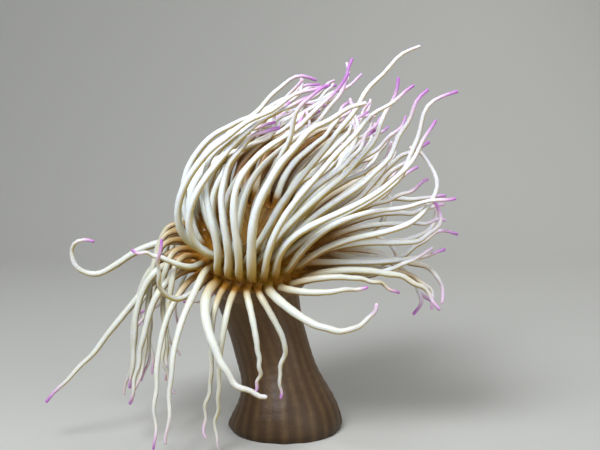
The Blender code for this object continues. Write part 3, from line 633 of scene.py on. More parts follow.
stations = np.linspace(0, 1, STATIONS)
step_lengths = np.array([t.length for t in tentacles]) / (STATIONS - 1)
station_radii = np.array([t.radius for t in tentacles])[:, None] * taper(stations)
station_radii *= SQUARE_CORNER
station_radii *= ROOT_WIDTH + ROOT_GAIN * ease(0.0, CROWDED, stations)
paths = clear_each_other(laid_paths, step_lengths, station_radii)
pushes = np.linalg.norm(paths - laid_paths, axis=-1)
print("furthest push, mm:", round(pushes.max() / MM, 1))

# %% [markdown]
# ## From routes to round tentacles
# Each route has 25 stations, which is too coarse to look smooth.  A curve object with a bevel
# would round it off, but its root and tip could not be shaped.  So the skin is rings of
# points, at 43 places along the route: a few close together at the root, where the tentacle
# flares out of the margin, and a few on the rounded tip.  A frame is carried along each
# tentacle without twisting: at every ring, the last ring's sideways direction is laid flat
# again against the new direction of travel.

# %% Rings along the tentacles
SIDES = 12
ROOT_HEIGHTS = np.array((0.0, 0.35, 0.8, 1.4, 2.2, 3.2, 4.5)) * MM      # of the first rings
TUBE_RINGS = 31
CAP_ANGLES = np.radians((0, 25, 48, 66, 80))    # of the rings on the tip, up from its edge
count = len(tentacles)
length = np.array([t.length for t in tentacles])[:, None]
base_radius = np.array([t.radius for t in tentacles])[:, None]
chance = np.array([t.chance for t in tentacles])
azimuth = np.array([t.azimuth for t in tentacles])[:, None]
lean = np.array([t.lean for t in tentacles])[:, None]
tip_radius = base_radius * taper(1)

root_shares = ROOT_HEIGHTS / length
cap_shares = 1 - tip_radius * (1 - np.sin(CAP_ANGLES)) / length
between = np.linspace(0, 1, TUBE_RINGS + 2)[1:-1]
tube_shares = root_shares[:, -1:] + between * (cap_shares[:, :1] - root_shares[:, -1:])
shares = np.concatenate([root_shares, tube_shares, cap_shares], axis=1)


def carried_frames(centres, side):
    """Direction of travel at every ring, which is the mean of the steps before and after it,
    and two directions across it that never twist."""
    steps = np.diff(centres, axis=1)
    along = unit(np.concatenate([steps[:, :1], unit(steps[:, 1:]) + unit(steps[:, :-1]),
                                 steps[:, -1:]], axis=1))
    sides = np.empty_like(along)
    for ring in range(along.shape[1]):
        travel = along[:, ring]
        side = unit(side - (side * travel).sum(-1, keepdims=True) * travel)
        sides[:, ring] = side
    return along, sides, np.cross(sides, along)


round_the_crown = -np.sin(azimuth) * RIGHT + np.cos(azimuth) * CROWN_BACK
centres = along_paths(paths, shares)
print("rings along each tentacle:", shares.shape[1])

# %% [markdown]
# ## Kinks, swellings and flared roots
# Living tentacles are never perfectly even.  Small kinks are added towards the tip, and the
# thickness swells and shrinks a little along the way.  A Displace modifier could add both, but
# it knows nothing about root and tip.  At the root each tube opens out until it fills its own
# cell of the margin, so neighbours meet in soft valleys and no bare step is left where a
# tentacle starts.

# %% Kinks and swellings
KINK = 0.75 * MM                # sideways, at its largest
KINKS_FROM, KINKS_FULL = 0.40, 0.95     # shares of the length
KINK_WAVES, CROSS_WAVES, WAVE_SPREAD = 5.5, 4.5, 1.5
SLOW_SWELL, SLOW_WAVES = 0.035, 7       # over the radius, and over the whole length
QUICK_SWELL, QUICK_WAVES = 0.025, 17
TIP_SWELL = 0.03                # the tip is a faint club

_, sides, across = carried_frames(centres, round_the_crown)
kink_phase = 2 * pi * (chance[:, 6:7] + shares * (KINK_WAVES + WAVE_SPREAD * chance[:, 5:6]))
cross_phase = 2 * pi * (chance[:, 7:8] + shares * (CROSS_WAVES + WAVE_SPREAD * chance[:, 4:5]))
kinks = np.sin(kink_phase)[..., None] * sides + np.sin(cross_phase)[..., None] * across
centres = centres + KINK * ease(KINKS_FROM, KINKS_FULL, shares)[..., None] * kinks
_, sides, across = carried_frames(centres, round_the_crown)

swelling = (1 + SLOW_SWELL * np.sin(2 * pi * (shares * SLOW_WAVES + chance[:, 1:2]))
            + QUICK_SWELL * np.sin(2 * pi * (shares * QUICK_WAVES + chance[:, 2:3]))
            + TIP_SWELL * ease(0.92, 0.97, shares))
rounding = np.ones_like(shares)
rounding[:, -len(CAP_ANGLES):] = np.cos(CAP_ANGLES)
ring_radius = base_radius * taper(shares) * swelling * rounding
print("thinnest and thickest ring, mm:",
      (2 * np.array([ring_radius[:, -len(CAP_ANGLES)].min(), ring_radius.max()]) / MM).round(1))

# %% Flared roots
FLARE_HEIGHT = 3.4 * MM         # over which a root narrows from its cell to a round tube
FLARE_POWER = 2.4               # above 1, it narrows quickly at first

turn = 2 * pi * (np.arange(SIDES) + 0.5) / SIDES
tube = ring_radius[..., None, None] * (np.cos(turn)[:, None] * sides[:, :, None]
                                       + np.sin(turn)[:, None] * across[:, :, None])

# The same turn on a square whose half width is one: the larger of cosine and sine is one.
stretch = 1 / np.maximum(np.abs(np.cos(turn)), np.abs(np.sin(turn)))
cell_width = np.array([pi / CYCLES[t.cycle].count for t in tentacles])[:, None]
cell_azimuth = azimuth + cell_width * np.cos(turn) * stretch
cell_lean = lean + radians(CYCLE_STEP / 2) * np.sin(turn) * stretch
cell_offset = roll_point(cell_lean, cell_azimuth) - roll_point(lean, azimuth)
flare = ((1 - np.clip(shares * length / FLARE_HEIGHT, 0, 1)) ** FLARE_POWER)[..., None, None]
tentacle_points = centres[:, :, None] + (1 - flare) * tube + flare * cell_offset[:, None]
print("tentacle points:", tentacle_points.shape[:3])

# %% [markdown]
# ## Column, margin and mouth
# Below the tentacles, the rest of the animal is one turned surface whose axis bends.  Its
# profile climbs the column, flares into the crown, goes round the rolled margin, and runs
# over the dished disc to the lips and the closed mouth.  The Screw modifier turns a profile
# too, but only round a straight axis.  Ripples turn the plain shape into flesh: two dozen
# furrows run up the column where the inner walls are attached, and fine rings gather at the
# foot.

# %% Column surface
AROUND = 96
ANGLES = 2 * pi * np.arange(AROUND) / AROUND
FURROWS, FURROW_DEPTH = 24, 0.010       # depths are over the column's radius
FOOT_RINGS, FOOT_RING_DEPTH = 21, 0.006
BULGE = 0.016                           # of a few slow waves
EDGE_LIP, EDGE_WAVE = 0.035, 0.012      # by which the foot's edge is rounded and wavy
EDGE_HEIGHTS = (0.0, 0.004, 0.010, 0.018)       # of the first rings, over the column's height


def ridges(angle):
    """One at a whole turn, nothing at half a turn: half of one plus the cosine."""
    return 0.5 + 0.5 * np.cos(angle)


def column_rows(heights):
    """Rings round the bent axis: centre + radius x (cosine x side + sine x back).  The
    radius is rippled by furrows, rings, and a few slow waves."""
    centre, travel = column_axis(heights)
    back = unit(np.cross(travel, RIGHT))
    side = np.cross(back, travel)
    h, a = heights[:, None], ANGLES[None, :]
    middle = ease(0.03, 0.15, h) * (1 - ease(0.93, 1.0, h))
    furrows = -FURROW_DEPTH * ridges(FURROWS * a + 1.2 * np.sin(5 * h)) ** 3 * middle
    ring_wave = np.sin(2 * pi * FOOT_RINGS * h + 1.5 * np.sin(3 * a))
    rings = FOOT_RING_DEPTH * ring_wave * (1 - ease(0.10, 0.75, h)) * middle
    slow = BULGE * np.sin(3 * a + 7 * h) * np.sin(2 * pi * h) * middle
    lip = 1 - EDGE_LIP * (1 - ease(0.0, 0.025, h))
    wavy = 1 - EDGE_WAVE * (1 + np.sin(9 * a + 2 * np.sin(4 * a))) * (1 - ease(0.0, 0.12, h))
    radius = column_radius(h) * (1 + furrows + rings + slow) * lip * wavy
    circle = np.cos(ANGLES)[:, None] * side[:, None] + np.sin(ANGLES)[:, None] * back[:, None]
    return centre[:, None] + radius[..., None] * circle


column_points = column_rows(np.concatenate([EDGE_HEIGHTS, np.linspace(0.03, 0.985, 66)]))
print("rings on the column:", len(column_points))

# %% Crown surface
UNDER_RINGS, ROLL_RINGS, DISC_RINGS = 14, 30, 26
EDGE_LEAN = radians(CYCLES[-1].lean + CYCLE_STEP / 2 + 1)
INNER_LEAN = radians(CYCLES[0].lean - CYCLE_STEP / 2)
DISC_RADIUS = ROLL_CENTRE + ROLL_RADIUS * sin(INNER_LEAN)
SUNK = 0.35 * MM                # the skin of the roll under the roots of the tentacles
BEADS, BEAD_HEIGHT = 20, 0.5 * MM       # twice as many beads, since a cosine squared has two
DISH_DEPTH, DISH_RISE = 3.0 * MM, 2.6 * MM
RAY_DEPTH = 0.22 * MM
LIP_RADIUS, LIP_WIDTH, LIP_HEIGHT = 3.4 * MM, 1.7 * MM, 2.4 * MM
PUCKERS, PUCKER_DEPTH = 11, 0.35 * MM
PUCKER_RADIUS, PUCKER_WIDTH = 2.2 * MM, 1.3 * MM


def all_round(values):
    """The same value all round each ring of the body."""
    return np.repeat(values[:, None], AROUND, 1)


def bell(radius, middle, width):
    """One at the middle and nearly nothing two widths away: e to minus a square."""
    return np.exp(-((radius - middle) / width) ** 2)


def crown_rows():
    """Rings round the crown's axis: out under the margin, round the roll, in over the disc.
    Under the outer tentacles sits a row of pale beads; the disc has a groove for each ray."""
    share = np.linspace(0.06, 1, UNDER_RINGS)
    edge = (ROLL_CENTRE + ROLL_RADIUS * sin(EDGE_LEAN), ROLL_RADIUS * cos(EDGE_LEAN))
    under_radius = COLUMN_TOP_RADIUS + (edge[0] - COLUMN_TOP_RADIUS) * np.sin(share * pi / 2)
    under_height = -COLLAR_DROP + (edge[1] + COLLAR_DROP) * share ** 1.6
    beads = BEAD_HEIGHT * ease(0.80, 0.93, share)[:, None] * np.cos(BEADS * ANGLES) ** 2
    sunk = ROLL_RADIUS - SUNK
    leans = np.linspace(EDGE_LEAN, INNER_LEAN, ROLL_RINGS)[1:]
    inward = np.linspace(1, 0.02, DISC_RINGS)[1:]
    disc_radius = DISC_RADIUS * inward
    dish = ROLL_RADIUS - DISH_DEPTH + DISH_RISE * ease(0.45, 1.0, inward)
    lips = LIP_HEIGHT * bell(disc_radius, LIP_RADIUS, LIP_WIDTH)
    rays = (-RAY_DEPTH * ease(0.30, 0.5, inward) * (1 - ease(0.9, 1.0, inward)))[:, None]
    rays = rays * ridges(FURROWS * ANGLES) ** 2
    puckers = (-PUCKER_DEPTH * bell(disc_radius, PUCKER_RADIUS, PUCKER_WIDTH))[:, None]
    puckers = puckers * ridges(PUCKERS * ANGLES) ** 2
    radius = np.concatenate([under_radius[:, None] + beads,
                             all_round(ROLL_CENTRE + sunk * np.sin(leans)),
                             all_round(disc_radius)])
    height = np.concatenate([all_round(under_height), all_round(sunk * np.cos(leans)),
                             (dish + lips)[:, None] + rays + puckers])
    return crown_point(radius, height, ANGLES[None, :])


crown_points = crown_rows()
body_points = np.concatenate([column_points, crown_points])
print("rings on the crown:", len(crown_points))

# %% [markdown]
# ## What each point knows about itself
# Colour follows the animal.  A texture would have to be painted, and a pattern in space knows
# nothing of root and tip, so the colour's causes are worked out where the shape is known and
# stored on the points.  "along" is the share of the tentacle from base to tip.  "violet" is
# how far the tip has turned violet, which differs from tentacle to tentacle.  "covered" says
# how much flesh lies between a point and the light, and it sets painted shade: deep inside the
# bundle the point is painted golden, as light that has passed through flesh looks.  "hanging"
# marks the tentacles that hang, which get painted shade and look a little duller.  "rays" is
# a pattern of furrows on the column and the disc.

# %% Painted shade: how much flesh covers each ring
LIGHT_SIDE = unit(np.array((-0.25, -0.22, 0.94)))       # from above, a little left and in front
COVER_REACH = 32.0 * MM         # within which other tentacles cover a point
DEEPEST = 0.98                  # quantile of the cover that counts as fully covered
BARE_ROOTS = ("stout", "reach", "hook", "vee")          # these stand clear of the others
# Strength of the painted shade at the roots, and how much less of it there is in front.
ROOT_COVER, FRONT_BARENESS = 0.95, 0.80


def cover(points, reach):
    """How much flesh lies between each station and the light, which sets painted shade: the
    stations of the other tentacles within reach, each weighted by its nearness and by the
    cosine of the angle between the way to it and the way to the light."""
    everything = points.reshape(-1, 3)
    total = np.zeros(points.shape[:2])
    for number, line in enumerate(points):
        offset = everything[None] - line[:, None]
        apart = np.linalg.norm(offset, axis=-1) + TINY
        weight = np.clip(1 - apart / reach, 0, 1) * np.clip(offset @ LIGHT_SIDE / apart, 0, 1)
        weight[:, number * points.shape[1]:(number + 1) * points.shape[1]] = 0
        total[number] = weight.sum(1)
    return total / np.quantile(total, DEEPEST)


station_cover = np.clip(cover(paths, COVER_REACH), 0, 1)[..., None]
ring_cover = along_paths(station_cover, shares)[..., 0]
bare = np.array([t.name in BARE_ROOTS for t in tentacles])[:, None]
# Painted shade at the roots of the outer ones, which come from under the crown, most of all
# at the left.
outer = np.array([t.cycle == 3 or t.hangs for t in tentacles])[:, None] & ~bare
under_crown = outer * (0.30 + 0.50 * ease(-0.1, 0.6, -np.cos(azimuth)))
ring_cover = np.maximum(ring_cover, under_crown * (1 - ease(0.04, 0.42, shares)))
# Painted shade on all the crowded roots, except those that the light reaches from the front.
in_front = np.maximum(bare, (1 - outer) * ease(0.60, 0.95, -np.sin(azimuth)))
root_cover = ROOT_COVER - FRONT_BARENESS * in_front
ring_cover = np.maximum(ring_cover, root_cover * (1 - ease(0.03, 0.15, shares)))
print("cover, quarter by quarter:", np.quantile(ring_cover, (0.25, 0.5, 0.75)).round(2))

# %% Tips, painted shade on the hanging tentacles, and rays
VIOLET_TIPS = ("hook", "long", "left_b", "left_up", "vee", "arc_a", "arc_b", "arc_c", "arc_d",
               "arc_e", "arc_f", "up_a", "up_b", "up_c", "edge", "corner", "right", "loop_b",
               "low_e", "front_a", "front_b")
PALE_TIPS = ("top", "stout", "thick", "loop_a")
PALE_VIOLET = 0.10              # strength of the colour at a pale tip
# Named tentacles that hang, and how strong the painted shade of the crown's shadow is on a
# hanging tentacle.
NAMED_HANGING = ("hook", "long", "left_a", "left_b", "left_c", "left_d", "left_e", "left_up",
                "vee", "stout", "front_a", "front_b", "reach", "under", "low_a", "low_b")
HANG_SHADE, NAMED_HANG_SHADE = 0.75, 0.55         # strength of the tint on a hanging tentacle

hang_shade_share = np.array([HANG_SHADE if t.hangs else NAMED_HANG_SHADE if t.name in NAMED_HANGING else 0.0
                          for t in tentacles])[:, None] * ease(0.03, 0.12, shares)
violet_start = 0.82 + 0.07 * chance[:, 3:4]
violet_strength = np.clip(0.75 + 0.45 * chance[:, 2:3], 0.25, 1)
violet_strength[[t.name in VIOLET_TIPS for t in tentacles]] = 1.0
violet_strength[[t.name in PALE_TIPS for t in tentacles]] = PALE_VIOLET
violet = violet_strength * ease(0, 1, (shares - violet_start) / (1 - violet_start))
body_rays = np.repeat(ridges(FURROWS * ANGLES)[None], len(body_points), 0)
body_height = all_round(np.linspace(0, 1, len(body_points)))
print("tentacles with a strong violet tip:", int((violet_strength > 0.9).sum()))

# %% [markdown]
# ## One skin
# All the grids become one mesh.  A grid's faces are its points and their neighbours, one step
# on along the ring and one step on along the tentacle.  The open ends, at the foot, the
# mouth and the tips, are each closed with one many-sided face.  Remeshing the parts into one
# would join them more closely, but it would also blunt the tips and lose the rings, on which
# the map and the colours depend.  The map, OFBake, gives every tentacle a long narrow strip of
# its own and the body a band across the top, so a finish is painted on without stretching.

# %% Faces and map
STRIPS_ACROSS, STRIP_ROWS = 36, 4
STRIP_GAP = 0.12                # share of a strip that is left empty beside it
ROW_GAP = 0.004                 # left empty above each strip, as a share of the map
BODY_BAND = 0.20                # height of the body's band on the map
BAND_GAP = 0.005
# Middles and radii of the circles that stand for the foot's and the mouth's ends.
FOOT_SPOT, FOOT_SPOT_SIZE = (0.002, 1 - BODY_BAND), 0.004
MOUTH_SPOT, MOUTH_SPOT_SIZE = (0.996, 0.997), 0.003


def grid_faces(rings, around, first, outward_turn):
    """Quads of a closed ring grid; outward_turn says which way round points out."""
    ring, side = np.meshgrid(np.arange(rings - 1), np.arange(around), indexing="ij")
    after = (side + 1) % around
    here, there = first + ring * around, first + (ring + 1) * around
    corners = [here + side, here + after, there + after, there + side]
    return np.stack(corners if outward_turn else corners[::-1], -1).reshape(-1, 4)


def grid_map(rings, around, low, high, outward_turn):
    """Map corners for the same quads, between two corners of the unit square."""
    ring, side = np.meshgrid(np.arange(rings - 1), np.arange(around), indexing="ij")
    place = [(side, ring), (side + 1, ring), (side + 1, ring + 1), (side, ring + 1)]
    place = place if outward_turn else place[::-1]
    size = np.array(high) - np.array(low)
    corners = [np.stack([low[0] + size[0] * s / around, low[1] + size[1] * r / (rings - 1)], -1)
               for s, r in place]
    return np.stack(corners, 2).reshape(-1, 2)


rings_each = shares.shape[1]
faces, maps = [], []
for number in range(count):
    faces.append(grid_faces(rings_each, SIDES, number * rings_each * SIDES, False))
    row, strip = divmod(number, STRIPS_ACROSS)
    low = np.array((strip / STRIPS_ACROSS, row * (1 - BODY_BAND) / STRIP_ROWS))
    high = low + np.array(((1 - STRIP_GAP) / STRIPS_ACROSS,
                           (1 - BODY_BAND) / STRIP_ROWS - ROW_GAP))
    maps.append(grid_map(rings_each, SIDES, low, high, False))
first_body = count * rings_each * SIDES
faces.append(grid_faces(len(body_points), AROUND, first_body, True))
maps.append(grid_map(len(body_points), AROUND, (0.0, 1 - BODY_BAND + BAND_GAP), (1.0, 1.0),
                     True))
quads, quad_map = np.concatenate(faces), np.concatenate(maps)

tip_ends = (np.arange(count)[:, None] + 1) * rings_each * SIDES - SIDES + np.arange(SIDES)[::-1]
foot_end = first_body + np.arange(AROUND)[::-1]
mouth_end = first_body + (len(body_points) - 1) * AROUND + np.arange(AROUND)
print("quads:", len(quads), "and ends:", count + 2)

# %% The skin's mesh
points = np.concatenate([tentacle_points.reshape(-1, 3), body_points.reshape(-1, 3)])
corner_points = np.concatenate([quads.ravel(), tip_ends.ravel(), foot_end, mouth_end])
sizes = np.concatenate([np.full(len(quads), 4), np.full(count, SIDES), [AROUND, AROUND]])
starts = np.concatenate([[0], np.cumsum(sizes)[:-1]])

mesh = bpy.data.meshes.new("anemone_skin")
mesh.vertices.add(len(points))
mesh.vertices.foreach_set("co", points.astype(np.float32).ravel())
mesh.loops.add(len(corner_points))
mesh.loops.foreach_set("vertex_index", corner_points.astype(np.int32))
mesh.polygons.add(len(sizes))
mesh.polygons.foreach_set("loop_start", starts.astype(np.int32))
mesh.polygons.foreach_set("use_smooth", np.ones(len(sizes), bool))

tentacle_quads = count * (rings_each - 1) * SIDES
strip_top = quad_map.reshape(-1, 4, 2)[:tentacle_quads]
strip_top = strip_top.reshape(count, rings_each - 1, SIDES, 4, 2)[:, -1].mean(2)


def end_circle(middle, radius, angles):
    """A small circle on the map for a closed end: middle + radius x (cosine, sine)."""
    circle = np.stack([np.cos(angles), np.sin(angles)], -1)
    return (np.array(middle) + radius * circle).clip(0, 1)


end_map = np.concatenate([strip_top[:, ::-1].reshape(-1, 2),
                          end_circle(FOOT_SPOT, FOOT_SPOT_SIZE, ANGLES[::-1]),
                          end_circle(MOUTH_SPOT, MOUTH_SPOT_SIZE, ANGLES)])
skin_map = mesh.uv_layers.new(name="OFBake")
skin_map.data.foreach_set("uv", np.concatenate([quad_map, end_map]).astype(np.float32).ravel())

# %% The skin's attributes and slots
none_there = np.zeros(body_points.shape[:2])
for name, ring_values, body_values in (
        ("along", shares, body_height), ("violet", violet, none_there),
        ("covered", ring_cover, none_there + 0.5), ("hanging", hang_shade_share, none_there),
        ("rays", np.zeros_like(shares), body_rays)):
    values = np.concatenate([np.repeat(ring_values.ravel(), SIDES), body_values.ravel()])
    attribute = mesh.attributes.new(name, "FLOAT", "POINT")
    attribute.data.foreach_set("value", values.astype(np.float32))

TENTACLE_SKIN, COLUMN_SKIN, DISC_SKIN = range(3)
finish = np.full(len(sizes), TENTACLE_SKIN)
body_ring = np.repeat(np.arange(len(body_points) - 1), AROUND)
last_column_ring = len(column_points) + UNDER_RINGS - 1
finish[tentacle_quads:len(quads)] = np.where(body_ring < last_column_ring, COLUMN_SKIN,
                                             DISC_SKIN)
finish[-2:] = COLUMN_SKIN, DISC_SKIN
mesh.polygons.foreach_set("material_index", finish.astype(np.int32))
mesh.update(calc_edges=True)
mesh.validate()

skin = bpy.data.objects.new("anemone_skin", mesh)
bpy.context.collection.objects.link(skin)
triangles = int((sizes - 2).sum())
print("triangles in the skin:", triangles)

# %% [markdown]
# ## One helper for node trees
# A finish is a small graph of nodes.  It could be drawn in the shader editor, but here every
# value can be read and changed in one place.  Adding a node means making it, setting its
# options, and then filling each socket with a value or with a link from another node, so one
# function does just that.  Some nodes have several sockets of one name, of which only one is
# in use at a time, so the function looks among those that are enabled.

# %% Node helper
def add(tree, kind, sockets=None, stops=None, **options):
    """Add a node of a kind to a tree: options are its settings, and stops are a colour ramp's
    (position, hex colour) pairs.  A socket gets a value, another node's output, or a node,
    which stands for its first output."""
    node = tree.nodes.new(kind)
    for option, value in options.items():
        setattr(node, option, value)
    for name, value in (sockets or {}).items():
        socket = (node.inputs[name] if isinstance(name, int) else
                  next(entry for entry in node.inputs if entry.name == name and entry.enabled))
        if isinstance(value, bpy.types.Node):
            value = next(output for output in value.outputs if output.enabled)
        if isinstance(value, bpy.types.NodeSocket):
            tree.links.new(value, socket)
        else:
            socket.default_value = value
    if stops:
        for _ in stops[2:]:
            node.color_ramp.elements.new(0.5)
        for element, (position, colour) in zip(node.color_ramp.elements, stops):
            element.position = position
            element.color = linear(colour)
    return node


def new_finish(name):
    """An empty material and its node tree."""
    material = bpy.data.materials.new(name)
    material.use_nodes = True
    material.node_tree.nodes.clear()
    return material, material.node_tree


# %% [markdown]
# ## Living tentacle flesh
# A snakelocks tentacle is a thin wall of clear flesh packed with olive-gold algae, over a
# milky inner layer, and it is moist and a little glossy.  It leaves a brown margin, is white
# for most of its length, and turns lilac and then violet at the tip.  Lit from above, the side
# turned to the light looks white and the side turned away looks olive gold.  Clear flesh with
# algae inside could be rendered as such, but slowly.  Here the colour along the tentacle is
# tinted instead, with painted shade: a little duller where it hangs under the crown, olive
# gold by how far the surface is turned away from the light in the room, which stays the same
# from wherever it is looked at, and deeper gold by how much flesh covers it.

# %% Tentacle finish
# Cosines to the light: where the painted shade on the side turned away begins and is
# complete, and where the deepest painted shade is full.
PAINTED_SHADE_FROM, PAINTED_SHADE_FULL, SHADE_FULL = 0.14, -0.60, -0.38
BLOTCH_SIZE, WRINKLE_SIZE = 2.2 * MM, 0.9 * MM


def tentacle_finish():
    """Colour along the tentacle, with painted shade in olive gold away from the light and
    under other tentacles and on hanging ones, lilac to violet at the tip."""
    material, tree = new_finish("moist_tentacle_flesh")
    where = add(tree, "ShaderNodeTexCoord").outputs["Object"]
    along, violet, covered, hanging = (
        add(tree, "ShaderNodeAttribute", attribute_name=name).outputs["Fac"]
        for name in ("along", "violet", "covered", "hanging"))
    # The dark brown of the first stops is partly the margin's own colour and partly painted
    # shade where the roots crowd.
    length_ramp = add(tree, "ShaderNodeValToRGB", {"Fac": along}, stops=[
        (0.00, "#4A2C08"), (0.016, "#6C4612"), (0.036, "#AA9262"), (0.066, "#D4D3C4"),
        (0.20, "#E0E6E7"), (0.60, "#E0E3E6"), (1.00, "#D8D5DC")])
    # Painted shade on the hanging tentacles, which hang in the shadow of the crown.
    hang_shaded = add(tree, "ShaderNodeMix", {
        "Factor": hanging, "A": length_ramp, "B": linear("#B9B8A6")}, data_type="RGBA")

    # Painted shade: olive gold on the side of each tentacle that is turned away from the light
    # in the room.
    normal = add(tree, "ShaderNodeNewGeometry").outputs["Normal"]
    facing = add(tree, "ShaderNodeVectorMath", {0: normal, 1: LIGHT_SIDE},
                 operation="DOT_PRODUCT")
    away = add(tree, "ShaderNodeMapRange", {
        "Value": facing, "From Min": PAINTED_SHADE_FROM, "From Max": PAINTED_SHADE_FULL},
        interpolation_type="SMOOTHSTEP")
    gold_shaded = add(tree, "ShaderNodeMix", {
        "Factor": away, "A": hang_shaded, "B": linear("#AE9430")}, data_type="RGBA")

    # Painted shade in deep gold where a point is half covered and turned away, or deeply
    # covered.
    shade_side = add(tree, "ShaderNodeMapRange", {
        "Value": facing, "From Min": PAINTED_SHADE_FROM, "From Max": SHADE_FULL,
        "To Min": 0.12, "To Max": 0.96}, interpolation_type="SMOOTHSTEP")
    half_covered = add(tree, "ShaderNodeMapRange", {
        "Value": covered, "From Min": 0.04, "From Max": 0.55})
    beside = add(tree, "ShaderNodeMath", {0: shade_side, 1: half_covered},
                 operation="MULTIPLY")
    deep_cover_shade = add(tree, "ShaderNodeMapRange", {
        "Value": covered, "From Min": 0.30, "From Max": 0.80, "To Max": 0.96})
    inner = add(tree, "ShaderNodeMath", {0: beside, 1: deep_cover_shade}, operation="MAXIMUM")
    painted_shade_colour = add(tree, "ShaderNodeValToRGB", {"Fac": inner}, stops=[
        (0.0, "#B8A868"), (0.5, "#AC8622"), (1.0, "#8A5602")])
    shaded = add(tree, "ShaderNodeMix", {
        "Factor": inner, "A": gold_shaded, "B": painted_shade_colour}, data_type="RGBA")

    blotches = add(tree, "ShaderNodeTexNoise", {
        "Vector": where, "Scale": 1 / BLOTCH_SIZE, "Detail": 3.0, "Roughness": 0.6})
    blotch_strength = add(tree, "ShaderNodeMapRange", {
        "Value": blotches, "From Min": 0.45, "From Max": 0.75, "To Max": 0.18})
    mottled = add(tree, "ShaderNodeMix", {
        "Factor": blotch_strength, "A": shaded, "B": linear("#C4AE6A")}, data_type="RGBA")
    tip_colour = add(tree, "ShaderNodeValToRGB", {"Fac": violet}, stops=[
        (0.0, "#E6D2E2"), (0.50, "#D0A0D0"), (1.0, "#AC68B6")])
    tipped = add(tree, "ShaderNodeMix", {
        "Factor": violet, "A": mottled, "B": tip_colour}, data_type="RGBA")

    # Wrinkles about a millimetre apart, twice as far as on the living skin, so they show.
    wrinkles = add(tree, "ShaderNodeTexNoise", {
        "Vector": where, "Scale": 1 / WRINKLE_SIZE, "Detail": 4.0, "Roughness": 0.65})
    relief = add(tree, "ShaderNodeBump", {
        "Height": wrinkles, "Strength": 0.4, "Distance": 0.25 * MM})
    # Wet flesh: light goes in and comes out again, red furthest, so the eye sees a soft glow
    # and no hard shadow.  The film of slime on it gives a faint broad shine.
    shader = add(tree, "ShaderNodeBsdfPrincipled", {
        "Base Color": tipped, "Roughness": 0.40, "IOR": 1.38, "Subsurface Weight": 0.45,
        "Subsurface Scale": 2.0 * MM, "Subsurface Radius": (1.0, 0.78, 0.25),
        "Coat Weight": 0.20, "Coat Roughness": 0.22, "Normal": relief})
    add(tree, "ShaderNodeOutputMaterial", {"Surface": shader})
    return material


skin.data.materials.append(tentacle_finish())
print("finish:", skin.data.materials[0].name)

# %% [markdown]
# ## Column and disc
# The column is smooth brown skin with paler furrows and fine flecks, darker at the foot.
# The mouth's disc and the margin under the tentacles are the same skin, stretched thin, so
# they are warmer and lighter, with pale rays from the lips to the tentacles.  Two materials
# could be made apart, but as they differ only in colours and sizes, one function makes both.

# %% Column and disc finishes
PATCH_SIZE, FOLD_SIZE = 7.0 * MM, 1.6 * MM


def body_finish(name, stops, ray_colour, ray_share, fleck_size):
    """Ramp up the body with rays or furrows in a paler colour, blotches, and fine flecks."""
    material, tree = new_finish(name)
    where = add(tree, "ShaderNodeTexCoord").outputs["Object"]
    along, rays = (add(tree, "ShaderNodeAttribute", attribute_name=name).outputs["Fac"]
                   for name in ("along", "rays"))
    ramp = add(tree, "ShaderNodeValToRGB", {"Fac": along}, stops=stops)
    patches = add(tree, "ShaderNodeTexNoise", {
        "Vector": where, "Scale": 1 / PATCH_SIZE, "Detail": 5.0, "Roughness": 0.6})
    streaks = add(tree, "ShaderNodeMath", {0: rays, 1: patches}, operation="MULTIPLY")
    ray_strength = add(tree, "ShaderNodeMapRange", {
        "Value": streaks, "From Min": 0.15, "From Max": 0.60, "To Max": ray_share})
    rayed = add(tree, "ShaderNodeMix", {
        "Factor": ray_strength, "A": ramp, "B": linear(ray_colour)}, data_type="RGBA")
    flecks = add(tree, "ShaderNodeTexVoronoi", {
        "Vector": where, "Scale": 1 / fleck_size, "Randomness": 1.0})
    fleck_strength = add(tree, "ShaderNodeMapRange", {
        "Value": flecks, "From Min": 0.32, "From Max": 0.10, "To Max": 0.55})
    flecked = add(tree, "ShaderNodeMix", {
        "Factor": fleck_strength, "A": rayed, "B": linear("#3A2412")}, data_type="RGBA")
    folds = add(tree, "ShaderNodeTexNoise", {
        "Vector": where, "Scale": 1 / FOLD_SIZE, "Detail": 5.0, "Roughness": 0.6})
    relief = add(tree, "ShaderNodeBump", {
        "Height": folds, "Strength": 0.55, "Distance": 0.5 * MM})
    # Skin thicker than the tentacles', so less light goes in.  The eye sees leathery flesh with
    # a duller shine, and its folds.
    shader = add(tree, "ShaderNodeBsdfPrincipled", {
        "Base Color": flecked, "Roughness": 0.52, "IOR": 1.38, "Subsurface Weight": 0.15,
        "Subsurface Scale": 1.6 * MM, "Subsurface Radius": (1.0, 0.6, 0.3),
        "Coat Weight": 0.08, "Coat Roughness": 0.35, "Normal": relief})
    add(tree, "ShaderNodeOutputMaterial", {"Surface": shader})
    return material


# The column's skin looks earthy, and the disc's looks amber, with its rays clear to see.
skin.data.materials.append(body_finish(
    "mottled_column_skin", [(0.0, "#35230F"), (0.10, "#46301A"), (0.35, "#5B4123"),
                            (0.62, "#6A4C26"), (1.0, "#765223")], "#8C7044", 0.22, 1.5 * MM))
skin.data.materials.append(body_finish(
    "stretched_disc_skin", [(0.0, "#5E3F12"), (0.80, "#6E4A14"), (0.90, "#805818"),
                            (0.97, "#8E6428"), (1.0, "#84493A")], "#B0914A", 0.6, 1.1 * MM))
print("finishes:", [material.name for material in skin.data.materials])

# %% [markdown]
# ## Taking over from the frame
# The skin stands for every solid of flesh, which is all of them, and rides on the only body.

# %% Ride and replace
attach(skin, "root")
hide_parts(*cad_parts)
print("solids replaced:", len(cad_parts))

